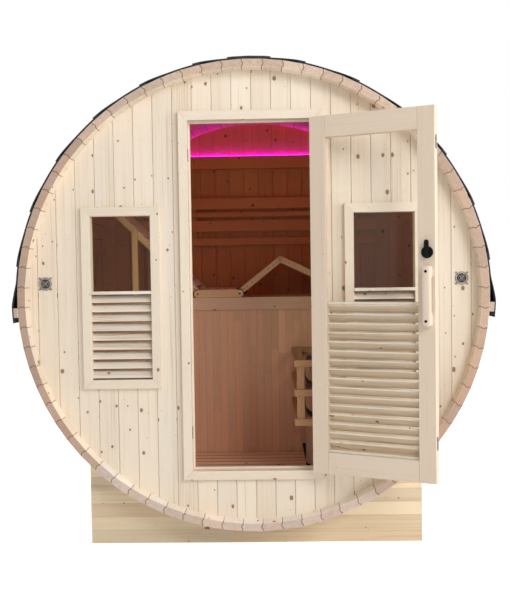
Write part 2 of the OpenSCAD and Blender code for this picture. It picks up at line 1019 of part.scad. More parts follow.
module heater_body() {
    low = floor_z + heater_low;
    color("DarkGray")
        translate([heater_x, heater_y, 0]) {
            difference() {
                translate([0, 0, low])
                    cylinder(r = heater_r, h = heater_top - low);
                translate([0, 0, heater_top - stone_sink])
                    cylinder(r = heater_r - heater_wall, h = stone_sink + skin);
            }
            for (a = [45 : 90 : 315])
                translate([foot_at * cos(a), foot_at * sin(a), floor_z])
                    cylinder(r = foot_r, h = heater_low + skin);
        }
}

module heater_stones() {
    cap_r = heater_r - heater_wall - fit;
    ball = (cap_r * cap_r + stone_rise * stone_rise) / (2 * stone_rise);
    color("Black")
        translate([heater_x, heater_y, heater_top])
            intersection() {
                translate([0, 0, -stone_sink])
                    cylinder(r = cap_r, h = stone_sink + stone_rise + skin);
                translate([0, 0, stone_rise - ball])
                    sphere(r = ball);
            }
}

module heater_guard() {
    high = floor_z + guard_low[2] + guard_h;
    low = floor_z + guard_low[0];
    color("Peru") {
        for (z = guard_low) {
            box([guard_x, guard_y, floor_z + z], [guard_x + guard_t, y_bench - fit, floor_z + z + guard_h]);
            box([guard_x, guard_y, floor_z + z], [guard_right, guard_y + guard_t, floor_z + z + guard_h]);
        }
        box([guard_x + guard_t / 2, guard_y + guard_t / 2, low],
            [guard_x + guard_post + guard_t / 2, guard_y + guard_post + guard_t / 2, high]);
        box([guard_block_x, y_in + fit, low], [guard_block_x + guard_post, guard_y + skin, high]);
    }
}

floor_staves();
left_staves();
right_staves();
roof_staves();
hoop_bands();
front_wall_left();
front_wall_right();
front_wall_over_door();
front_wall_under_door();
back_wall();
door_jamb_left();
door_jamb_right();
door_head();
door_sill();
left_window_frame();
right_window_frame();
window_glass();
window_louvres();
vent_guards();
door_stiles();
door_rails();
door_glass();
door_louvres();
door_handle_inside();
door_handle_outside();
frame_hinges();
door_hinges();
latch_rose();
latch_lever();
left_shingles();
right_shingles();
ridge_cap();
eave_battens();
cradles();
floor_slats();
floor_joists();
bench_front();
bench_apron();
bench_top();
bench_bearers();
backrest();
cove_board();
led_strip();
lounger_seat();
lounger_back();
lounger_thigh();
lounger_calf();
heater_body();
heater_stones();
heater_guard();
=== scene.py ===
"""Looks of the barrel sauna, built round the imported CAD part. Metres, in the part's own frame."""

import json
import random
from math import atan2, ceil, cos, floor, inf, pi, radians, sin

import bmesh
import bpy
from mathutils import Matrix, Vector, noise


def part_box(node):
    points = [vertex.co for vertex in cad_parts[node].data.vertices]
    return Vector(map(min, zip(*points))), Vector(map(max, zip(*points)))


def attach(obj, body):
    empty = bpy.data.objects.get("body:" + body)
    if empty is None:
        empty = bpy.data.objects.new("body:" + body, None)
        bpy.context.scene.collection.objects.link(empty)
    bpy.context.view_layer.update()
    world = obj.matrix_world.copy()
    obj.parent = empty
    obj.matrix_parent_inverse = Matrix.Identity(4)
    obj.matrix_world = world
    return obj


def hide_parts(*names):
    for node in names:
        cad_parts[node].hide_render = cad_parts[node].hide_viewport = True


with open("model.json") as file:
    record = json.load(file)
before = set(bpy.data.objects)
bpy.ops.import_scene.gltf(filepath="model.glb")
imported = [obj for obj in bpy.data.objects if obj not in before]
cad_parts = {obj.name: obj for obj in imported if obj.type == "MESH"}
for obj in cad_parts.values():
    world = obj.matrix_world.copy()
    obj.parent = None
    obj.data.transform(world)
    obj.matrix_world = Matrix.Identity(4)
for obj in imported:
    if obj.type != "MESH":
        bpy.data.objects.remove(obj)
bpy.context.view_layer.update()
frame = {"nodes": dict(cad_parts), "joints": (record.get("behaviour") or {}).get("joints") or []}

# Sizes taken from the frame
MM = 0.001
X, Y, Z = Vector((1, 0, 0)), Vector((0, 1, 0)), Vector((0, 0, 1))
HERE = Matrix.Identity(4)
JOINTS = {joint["name"]: joint for joint in frame["joints"]}
WALL_LOW, WALL_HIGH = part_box("back_wall")
AXIS_Z = (WALL_LOW.z + WALL_HIGH.z) / 2
WALL_R = (WALL_HIGH.z - WALL_LOW.z) / 2
BARREL_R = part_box("roof_staves")[1].z - AXIS_Z
FRONT_Y, FRONT_IN_Y = (corner.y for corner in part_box("front_wall_left"))
PIN = Vector(JOINTS["door_hinge"]["pos_m"])
OPEN = radians(-JOINTS["door_hinge"]["range_deg"][0])
SWING = Matrix.Translation(PIN) @ Matrix.Rotation(OPEN, 4, "Z") @ Matrix.Translation(-PIN)
SHUT = SWING.inverted()


# Node graphs
def maths(operation):
    """A method of a value that adds a maths node."""
    return lambda self, *others: self.graph.math(operation, self, *others)


class Value:
    """An output of a node. Its operators add maths nodes to the same graph."""
    __add__ = maths("ADD")
    __sub__ = maths("SUBTRACT")
    __mul__ = maths("MULTIPLY")
    __truediv__ = maths("DIVIDE")
    __lt__ = maths("LESS_THAN")
    __gt__ = maths("GREATER_THAN")
    __abs__ = maths("ABSOLUTE")
    floor = maths("FLOOR")
    fract = maths("FRACT")
    spread = maths("MULTIPLY_ADD")

    def __init__(self, graph, socket):
        self.graph = graph
        self.socket = socket

    def __rsub__(self, other):
        return self.graph.math("SUBTRACT", other, self)

    def centred(self, width):
        """A value between 0 and 1 moved to a range of this width about zero."""
        return self.spread(width, -width / 2)

    def held(self):
        """The value kept between 0 and 1."""
        return self.graph.math("MAXIMUM", self.graph.math("MINIMUM", self, 1.0), 0.0)

    def step(self, low, high):
        """A smooth rise from 0 at low to 1 at high."""
        smooth = {"interpolation_type": "SMOOTHSTEP"}
        return self.graph.node("MapRange", props=smooth, Value=self, From_Min=low, From_Max=high)

    def beside(self, name):
        """Another output of the same node."""
        return Value(self.graph, self.socket.node.outputs[name])


class Graph:
    """The node tree of a material or a world, written as calls and sums."""

    def __init__(self, owner, kind):
        owner.use_nodes = True
        self.tree = owner.node_tree
        self.tree.nodes.clear()
        self.out = self.tree.nodes.new("ShaderNodeOutput" + kind)

    def node(self, kind, *inputs, give=0, props=None, **named):
        """A new node, as the value of the output to give. A None leaves an input as it is."""
        made = self.tree.nodes.new("ShaderNode" + kind)
        for key, value in (props or {}).items():
            setattr(made, key, value)
        for key, value in [*enumerate(inputs), *named.items()]:
            socket = made.inputs[key.replace("_", " ") if key in named else key]
            if isinstance(value, Value):
                self.tree.links.new(value.socket, socket)
            elif value is not None:
                socket.default_value = value
        return Value(self, made.outputs[give])

    def math(self, operation, *values):
        return self.node("Math", *values, props={"operation": operation})

    def length(self, a, b):
        return self.math("SQRT", a * a + b * b)

    def vector(self, x, y, z):
        return self.node("CombineXYZ", x, y, z)

    def split(self, vector):
        x = self.node("SeparateXYZ", vector)
        return x, x.beside("Y"), x.beside("Z")

    def place(self):
        return self.node("TexCoord", give="Object")

    def attribute(self, name):
        return self.node("Attribute", props={"attribute_name": name}, give="Fac")

    def noise(self, vector, scale=1.0, detail=2.0, rough=0.5):
        return self.node("TexNoise", Vector=vector, Scale=scale, Detail=detail, Roughness=rough)

    def random(self, key):
        """Three random numbers for each value of the key."""
        return self.split(self.node("TexWhiteNoise", props={"noise_dimensions": "1D"}, give="Color", W=key))

    def mix(self, factor, a, b, blend="MIX"):
        """Two colours mixed. Between the factor and the colours the node has 5 inputs of other kinds."""
        a, b = (colour if isinstance(colour, Value) else (*colour, 1.0) for colour in (a, b))
        props = {"data_type": "RGBA", "blend_type": blend}
        return self.node("Mix", factor, *[None] * 5, a, b, props=props, give=2)

    def bump(self, height, distance, strength):
        return self.node("Bump", Height=height, Distance=distance, Strength=strength)

    def seen(self):
        """1 for rays from the camera, straight or by way of a pane, and 0 for rays that light the scene."""
        path = self.node("LightPath", give="Is Camera Ray")
        by_pane = self.math("MAXIMUM", path.beside("Is Glossy Ray"), path.beside("Is Transmission Ray"))
        return self.math("MAXIMUM", path, by_pane)

    def show(self, shader):
        self.tree.links.new(shader.socket, self.out.inputs[0])

    def surface(self, **values):
        self.show(self.node("BsdfPrincipled", **values))


# Materials
M = {}


def paint(key, suffix=""):
    """The graph of a new material, which is kept under its key."""
    M[key] = bpy.data.materials.new(key + suffix)
    return Graph(M[key], "Material")


def dimmed(colour, share):
    return [c * share for c in colour]


KNOT_NET, PIN_NET = (0.085, 0.19), (0.052, 0.12)
FINGER_HALF, FINGER_SLOPE = 0.0035, 2.6
LATE_PEAK = 0.9
END_RING = 0.0048
WOOD_ROUGH = 0.55


def wood(name, pale, deep, knot, cut, cut_deep, ring=0.0075, figure=0.6, streaks=0.6, knots=0.5, pins=0.3,
         strip=0.0, joint=0.0, vary=0.08):
    """Planed softwood: growth rings of a sawn log, fibres, knots and sawn end grain, from the grain map.

    With a strip width the surface is a glued panel, and with a joint length its strips are finger jointed."""
    s = paint(name, "_wood")
    u, v, _ = s.split(s.node("UVMap", props={"uv_map": "grain"}))
    end = s.attribute("end")
    key = s.attribute("seed") * 91.7
    across = u
    if strip:
        count = (u / strip).floor()
        across = u - (count + 0.5) * strip
        key = key + count * 1.37
        glue = 1.0 - (strip / 2 - abs(across)).step(0.0003, 0.0013)
    if joint:
        fingers = s.math("PINGPONG", across, FINGER_HALF) * FINGER_SLOPE
        shift = s.random(key)[0] * joint
        key = key + ((v + (fingers + shift)) / joint).floor() * 5.31
    r0, r1, r2 = s.random(key)
    r3, r4, r5 = s.random(key + 17.3)
    r6 = s.random(key + 41.9)[0]
    along = v + r3 * 23.0
    shifted = across + r4 * 3.1

    def spots(cell_u, cell_v):
        """One spot in each cell of a net: offsets from it in metres, and its random numbers."""
        net = s.node("TexVoronoi", props={"voronoi_dimensions": "2D", "feature": "F1"}, give="Position",
                     Vector=s.vector(shifted / cell_u, along / cell_v, 0.0), Scale=1.0, Randomness=0.9)
        x, y, _ = s.split(net)
        k0, k1, _ = s.split(net.beside("Color"))
        return shifted - x * cell_u, along - y * cell_v, k0, k1

    def cloud(x, y, detail=2.0):
        return s.noise(s.vector(x, y, key), detail=detail)

    def latewood(turn, start):
        """The dark part of a growth ring, which comes slowly and ends at once."""
        return turn.step(start, LATE_PEAK) * (1.0 - turn.step(LATE_PEAK, 1.0))

    # Knots, with a dark rim and a pull on the rings round them, and pin knots
    du, dv, k0, k1 = spots(*KNOT_NET)
    far = s.length(du, dv * 0.75) + cloud(shifted * 160.0, along * 160.0, 1.0).centred(0.004)
    size = (k1 * k1).spread(0.0056, 0.0026) * (k0 < knots)
    knot_in = (1.0 - far.step(size * 0.8, size * 1.15 + 0.0004)) * (size > 0.001)
    knot_rim = far.step(size * 0.45, size * 0.95) * knot_in
    pull = size * size / (far * far + 0.00006)
    halo = s.math("MINIMUM", pull, 1.0) * 0.35
    du, dv, k0, k1 = spots(*PIN_NET)
    pin = (1.0 - s.length(du, dv * 0.7).step(0.0006, k1.spread(0.0016, 0.0012))) * (k0 < pins)

    # Growth rings, by the distance from the pith of the log that the board was sawn from
    depth = r1.spread(0.06, 0.01) + cloud(0.0, along * 1.1).centred(0.2)
    waver = cloud(across * 26.0, along * 2.6).centred(0.007)
    radius = s.length(across - r0.centred(0.13), depth) + (waver + pull * 0.0045)
    count = radius / ring + cloud(radius * 55.0, 0.0, 1.0) * 2.2
    good = s.random(count.floor() * 0.731 + key)[1]
    fade = s.noise(s.vector(across * 9.0, along * 2.4, key + 3.0)).step(0.3, 0.68)
    late = latewood(count.fract(), 0.25) * (good * good) * (r6.spread(1.1, 0.4) * fade)
    fibre = cloud(across * 700.0, along * 9.0)
    streak = cloud(across * 75.0, along * 2.0).centred(streaks)
    broad = cloud(across * 13.0, along * 1.4, 3.0).centred(0.8)
    dark = (late * figure + halo) + (fibre.centred(0.6) + (broad + streak))
    face = s.mix(dark.held(), pale, deep)
    face = s.mix(knot_in * 0.85, face, knot)
    face = s.mix(knot_rim * 0.75, face, dimmed(knot, 0.35))
    face = s.mix(pin * 0.8, face, dimmed(knot, 0.7))

    # Sawn ends: rings about a pith outside the piece, with saw marks
    smear = cloud(u * 60.0, v * 60.0, 3.0)
    saw = cloud(u * 40.0, v * 420.0)
    from_pith = s.length(u + r0.centred(0.24), v + r1.spread(0.1, 0.05))
    end_late = latewood(((from_pith + smear * 0.004) / END_RING).fract(), 0.4)
    end_dark = end_late * 0.7 + (saw.centred(0.7) + smear.centred(1.2))
    colour = s.mix(end, face, s.mix(end_dark.held(), cut, cut_deep))
    if strip:
        colour = s.mix(glue * 0.42, colour, dimmed(deep, 0.45))

    # Each piece has a tone of its own
    tone = r2.spread(vary, 1.0 - vary / 2)
    warm = r5.spread(vary * 0.3, 1.0 - vary * 0.15)
    shade = s.node("CombineColor", tone, tone * warm, tone * (warm * warm))
    colour = s.mix(1.0, colour, shade, "MULTIPLY")
    height = (fibre * 0.6 + late * 0.25) + (knot_rim * -0.8 + saw * end * 1.5)
    rough = fibre.spread(0.22, WOOD_ROUGH - 0.11) + (knot_in * -0.12 + end * 0.2)
    s.surface(Base_Color=colour, Roughness=rough, Normal=s.bump(height, 0.00035, 0.7))


def metal(name, pale, deep, rough=0.35, metallic=1.0, gloss=0.5):
    """Brushed or painted metal with faint streaks and dulled patches."""
    s = paint(name)
    place = s.place()
    x, y, z = s.split(place)
    streak = s.noise(s.vector(x * 900.0, y * 900.0, z * 40.0))
    patch = s.noise(place, 30.0, 3.0)
    dull = streak.spread(0.2, rough - 0.1) + patch.centred(0.2)
    s.surface(Base_Color=s.mix(patch.spread(1.4, -0.2), pale, deep), Metallic=metallic, Roughness=dull,
              Specular_IOR_Level=gloss, Normal=s.bump(streak, 0.00015, 0.5))


def felt(name, pale, deep):
    """Bitumen shingle: mineral granules with lighter specks and weathered patches."""
    s = paint(name)
    place = s.place()
    grain = s.node("TexVoronoi", props={"feature": "F1"}, give="Distance", Vector=place, Scale=520.0)
    speck = s.split(grain.beside("Color"))[0]
    patch = s.noise(place, 7.0, 4.0)
    tone = s.math("POWER", speck, 3.0) * 0.7 + patch.spread(0.9, -0.35) + s.attribute("seed").centred(0.3)
    s.surface(Base_Color=s.mix(tone.held(), deep, pale), Roughness=speck.spread(0.2, 0.75),
              Normal=s.bump(patch * 0.3 - grain, 0.0012, 0.8))


def stone(name, pale, deep):
    """Split heater stone: grey with coarse crystals and pale veins."""
    s = paint(name)
    place = s.place()
    rock = s.noise(place, 60.0, 6.0, 0.7)
    vein = 1.0 - abs(s.noise(place, 24.0) - 0.5).step(0.0, 0.035)
    tone = rock.spread(1.6, -0.5) + (vein * 0.25 + s.attribute("seed").centred(0.5))
    s.surface(Base_Color=s.mix(tone.held(), deep, pale), Roughness=rock.spread(0.3, 0.6),
              Normal=s.bump(rock, 0.004, 0.8))


def glass(name, tint, shine):
    """Flat pane: see-through with a tint, mirror shine and faint waves and wipe marks."""
    s = paint(name)
    place = s.place()
    wave = s.noise(place, 5.0, 1.0)
    wipe = s.noise(place, 34.0, 4.0)
    through = s.node("BsdfTransparent", s.mix(wipe.spread(0.5, 0.0), tint, dimmed(tint, 0.93)))
    mirror = s.node("BsdfGlossy", Roughness=wipe.spread(0.06, 0.02), Normal=s.bump(wave, 0.002, 0.25))
    s.show(s.node("MixShader", wipe.spread(0.5 * shine, 0.75 * shine), through, mirror))


def lamp(name, colour, strength):
    """Diffuser of the light strip, with the brighter spots of its diodes."""
    s = paint(name)
    place = s.place()
    spot = abs((s.split(place)[0] * 60.0).fract() - 0.5).step(0.5, 0.0)
    cloud = s.noise(place, 90.0)
    level = spot.spread(0.35, 0.8) * cloud.spread(0.2, 0.9)
    s.surface(Base_Color=(*colour, 1.0), Roughness=cloud.spread(0.2, 0.4), Emission_Color=(*colour, 1.0),
              Emission_Strength=level * strength)


def shade_lining(name, pale, deep):
    """Dark lining behind slots and joints: painted shade for the places that no light reaches."""
    s = paint(name)
    cloud = s.noise(s.place(), 40.0, 3.0)
    s.surface(Base_Color=s.mix(cloud, deep, pale), Roughness=cloud.spread(0.2, 0.7),
              Normal=s.bump(cloud, 0.0005, 0.5))


def outdoor(name, pale, deep, cut=(0.61, 0.45, 0.345), cut_deep=(0.43, 0.27, 0.185), **rest):
    """Pale pine in daylight."""
    wood(name, pale, deep, (0.26, 0.105, 0.04), cut, cut_deep, **rest)


def indoor(name, pale, deep, figure=0.4, **rest):
    """The redder wood of the warm room."""
    wood(name, pale, deep, (0.13, 0.04, 0.015), (0.55, 0.32, 0.2), (0.36, 0.18, 0.1), figure=figure, **rest)


CLEAR = {"knots": 0.0, "pins": 0.0}
FEW_KNOTS = {"knots": 0.2, "pins": 0.1}
STAVE = {"ring": 0.012, "figure": 0.4, "vary": 0.2}
STAVE_PALE, STAVE_DEEP = (0.87, 0.745, 0.6), (0.69, 0.49, 0.31)
LED = (0.28, 0.003, 1.0)

outdoor("board", (0.89, 0.775, 0.63), (0.7, 0.5, 0.32), ring=0.0115, knots=0.8)
outdoor("stave", STAVE_PALE, STAVE_DEEP, (0.56, 0.385, 0.29), **STAVE)
outdoor("roof_stave", STAVE_PALE, STAVE_DEEP, (0.72, 0.54, 0.42), **STAVE)
outdoor("floor_stave", (0.93, 0.83, 0.71), (0.74, 0.56, 0.4), (0.74, 0.59, 0.49), (0.52, 0.36, 0.27), **STAVE)
# Dark wood for the eased edges between staves: partly darkened end grain, partly painted shade in the joints.
outdoor("seam", (0.26, 0.145, 0.085), (0.16, 0.08, 0.045), (0.2, 0.12, 0.075), (0.12, 0.065, 0.04), **CLEAR)
outdoor("frame", (0.87, 0.75, 0.6), (0.72, 0.53, 0.35), ring=0.009, figure=0.4, knots=0.35)
outdoor("leaf", (0.81, 0.67, 0.525), (0.66, 0.475, 0.32), ring=0.009, figure=0.35, knots=0.2, pins=0.12,
        vary=0.05)
outdoor("louvre", (0.92, 0.81, 0.67), (0.52, 0.32, 0.17), ring=0.008, figure=0.9, streaks=1.5, knots=0.6)
# Near-black wood for the window slats' undersides: painted shade in the gaps between the slats.
outdoor("louvre_shade", (0.14, 0.08, 0.04), (0.09, 0.045, 0.02), **CLEAR)
# Pale wood for the narrow edges of the door's slats: a painted highlight.
outdoor("slat_edge", (0.96, 0.88, 0.76), (0.8, 0.64, 0.45), **CLEAR)
outdoor("slat", (0.78, 0.63, 0.445), (0.47, 0.3, 0.155), ring=0.009, figure=0.8, streaks=1.3, vary=0.1)
outdoor("cradle", (0.83, 0.67, 0.46), (0.56, 0.36, 0.17), ring=0.02, figure=0.7, streaks=1.1, knots=0.6,
        strip=0.062, joint=1.3, vary=0.3)
outdoor("handle", (0.83, 0.69, 0.555), (0.72, 0.53, 0.385), figure=0.3, **CLEAR)
indoor("room_stave", (0.88, 0.38, 0.2), (0.64, 0.24, 0.11), ring=0.012)
indoor("inside", (0.8, 0.5, 0.32), (0.6, 0.3, 0.16))
indoor("lounger", (0.78, 0.47, 0.25), (0.62, 0.33, 0.15), knots=0.1, pins=0.05)
# The pink of the lath wood is painted magenta light from the light strip.
indoor("lath", (0.88, 0.58, 0.46), (0.74, 0.42, 0.3), **FEW_KNOTS)
indoor("guard", (0.54, 0.28, 0.13), (0.42, 0.2, 0.08), **FEW_KNOTS)
indoor("floor", (0.94, 0.6, 0.4), (0.72, 0.38, 0.22))
indoor("panel", (0.83, 0.47, 0.29), (0.62, 0.3, 0.15), ring=0.01, streaks=0.7, knots=0.03, pins=0.4,
       strip=0.0395, joint=0.62, vary=0.2)
indoor("panel_rail", (0.8, 0.5, 0.325), (0.64, 0.345, 0.195))
# Near-black wood for the sides of the floor slats: painted shade in the gaps.
indoor("room_seam", (0.1, 0.045, 0.02), (0.05, 0.02, 0.01), figure=0.6, **CLEAR)
wood("back", (0.77, 0.285, 0.095), (0.56, 0.17, 0.05), (0.09, 0.02, 0.008), (0.4, 0.2, 0.1),
     (0.25, 0.1, 0.05), ring=0.0115, figure=0.45, streaks=0.4, knots=0.7)
metal("steel", (0.62, 0.62, 0.61), (0.4, 0.39, 0.38))
metal("zinc_screw", (0.45, 0.43, 0.39), (0.25, 0.23, 0.2), 0.42)
metal("black_paint", (0.006, 0.006, 0.0065), (0.003, 0.003, 0.0035), 0.42, 0.0, 0.1)
metal("wire_guard", (0.3, 0.285, 0.26), (0.16, 0.15, 0.135), 0.4)
felt("shingle_felt", (0.06, 0.062, 0.075), (0.008, 0.009, 0.014))
felt("underlay_felt", (0.03, 0.03, 0.032), (0.008, 0.008, 0.01))
stone("heater_stone", (0.11, 0.1, 0.095), (0.02, 0.019, 0.018))
glass("window_pane", (0.93, 0.99, 0.84), 0.014)
glass("door_pane", (0.99, 0.99, 0.985), 0.01)
lamp("light_strip", LED, 17.0)
lamp("light_strip_upper", LED, 80.0)
lamp("light_strip_lens", (1.0, 0.06, 0.52), 1.3)
# Near-black painted shade, used behind the vent guards and in the heater's openings.
shade_lining("dark_gap", (0.02, 0.014, 0.01), (0.006, 0.004, 0.003))


# Shapes read off the CAD nodes
WELD, FLAT = 2e-5, radians(0.4)
AT_END, END_DIGITS = 5e-5, 5


def merged(node, place=HERE):
    """A copy of a CAD node with its flat facets joined, moved by place."""
    bm = bmesh.new()
    bm.from_mesh(frame["nodes"][node].data)
    bm.transform(place)
    bmesh.ops.remove_doubles(bm, verts=bm.verts, dist=WELD)
    bmesh.ops.dissolve_limit(bm, angle_limit=FLAT, verts=bm.verts, edges=bm.edges)
    bm.normal_update()
    return bm


def solids(bm):
    """The faces of a mesh, grouped by solid."""
    seen, found = set(), []
    for start in bm.faces:
        if start in seen:
            continue
        stack, group = [start], []
        seen.add(start)
        while stack:
            face = stack.pop()
            group.append(face)
            for edge in face.edges:
                for other in edge.link_faces:
                    if other not in seen:
                        seen.add(other)
                        stack.append(other)
        found.append(group)
    return found


def shells(node, place=HERE):
    """The solids of a node, each a list of faces as lists of points."""
    bm = merged(node, place)
    found = [[[v.co.copy() for v in face.verts] for face in group] for group in solids(bm)]
    bm.free()
    return found


def shell_box(shell):
    points = [p for face in shell for p in face]
    return [Vector([pick(p[i] for p in points) for i in range(3)]) for pick in (min, max)]


def box_in(node, place):
    """The box of a node's solids seen from another frame."""
    return shell_box([face for shell in shells(node, place) for face in shell])


def end_loop(shell, axis):
    """The outline of a solid's low end along an axis, as points in order round the end."""
    low = shell_box(shell)[0][axis]
    edges = {}
    for face in shell:
        if all(abs(p[axis] - low) < AT_END for p in face):
            spots = [tuple(round(c, END_DIGITS) for c in p) for p in face]
            for point, a, b in zip(face, spots, spots[1:] + spots[:1]):
                edges[a, b] = point
    after = {a: (b, point) for (a, b), point in edges.items() if (b, a) not in edges}
    best = []
    while after:
        loop, here = [], next(iter(after))
        while here in after:
            here, point = after.pop(here)
            loop.append(point)
        if len(loop) > len(best):
            best = loop
    return best


# Pieces built over them
AXES = ((Y, Z, X), (Z, X, Y), (X, Y, Z))
SHARP, EDGE_SHARP = radians(25), radians(30)
MOST_CUT = 0.42
FOLDED, LEAST_MITRE = 0.3, 0.45
CUT_END, SIDEWAYS = 0.75, 0.72
SCREW = ((-0.3, 0.2), (0.05, 1.0), (0.16, 0.9), (0.2, 0.55), (0.08, 0.34), (0.06, 0.02))


def mm(*sizes):
    """Millimetres, alone or in groups, in metres."""
    return [mm(*size) if isinstance(size, tuple) else size * MM for size in sizes]


def polar(a, b, turn):
    """The direction a, turned towards b."""
    return a * cos(turn) + b * sin(turn)


def standing(x, y, z, at):
    """The frame with these axes at a point."""
    return Matrix.Translation(at) @ Matrix((x, y, z)).transposed().to_4x4()


def rounded(outline, size, steps):
    """The outline with its sharp corners eased by an arc of about this size."""
    made = []
    for i, corner in enumerate(outline):
        back, on = outline[i - 1] - corner, outline[(i + 1) % len(outline)] - corner
        if pi - back.angle(on, pi) < SHARP:
            made.append(corner)
            continue
        cut = min(size, MOST_CUT * back.length, MOST_CUT * on.length)
        a, b = corner + back.normalized() * cut, corner + on.normalized() * cut
        for k in range(steps + 1):
            t = k / steps
            made.append((1 - t) * (1 - t) * a + 2 * t * (1 - t) * corner + t * t * b)
    return made


def turned(outline):
    """Twice the signed area of an outline."""
    return sum(a.x * b.y - a.y * b.x for a, b in zip(outline, outline[1:] + outline[:1]))


def shrunk(outline, size):
    """The outline moved in by a small size; it runs anticlockwise."""
    made = []
    for i, p in enumerate(outline):
        a, b = p - outline[i - 1], outline[(i + 1) % len(outline)] - p
        if min(a.length, b.length) < 1e-9:
            made.append(p)
            continue
        inward = Vector((-a.y, a.x)).normalized()
        mid = inward + Vector((-b.y, b.x)).normalized()
        if mid.length < FOLDED:
            made.append(p + inward * size)
            continue
        mid.normalize()
        made.append(p + mid * (size / max(LEAST_MITRE, mid.dot(inward))))
    return made


def prism(bm, low, high):
    """Adds the closed solid between two like outlines."""
    skins = [[bm.verts.new(p) for p in outline] for outline in (low, high)]
    bm.faces.new(skins[0][::-1])
    bm.faces.new(skins[1])
    for i in range(len(low)):
        bm.faces.new([skins[0][i - 1], skins[0][i], skins[1][i], skins[1][i - 1]])


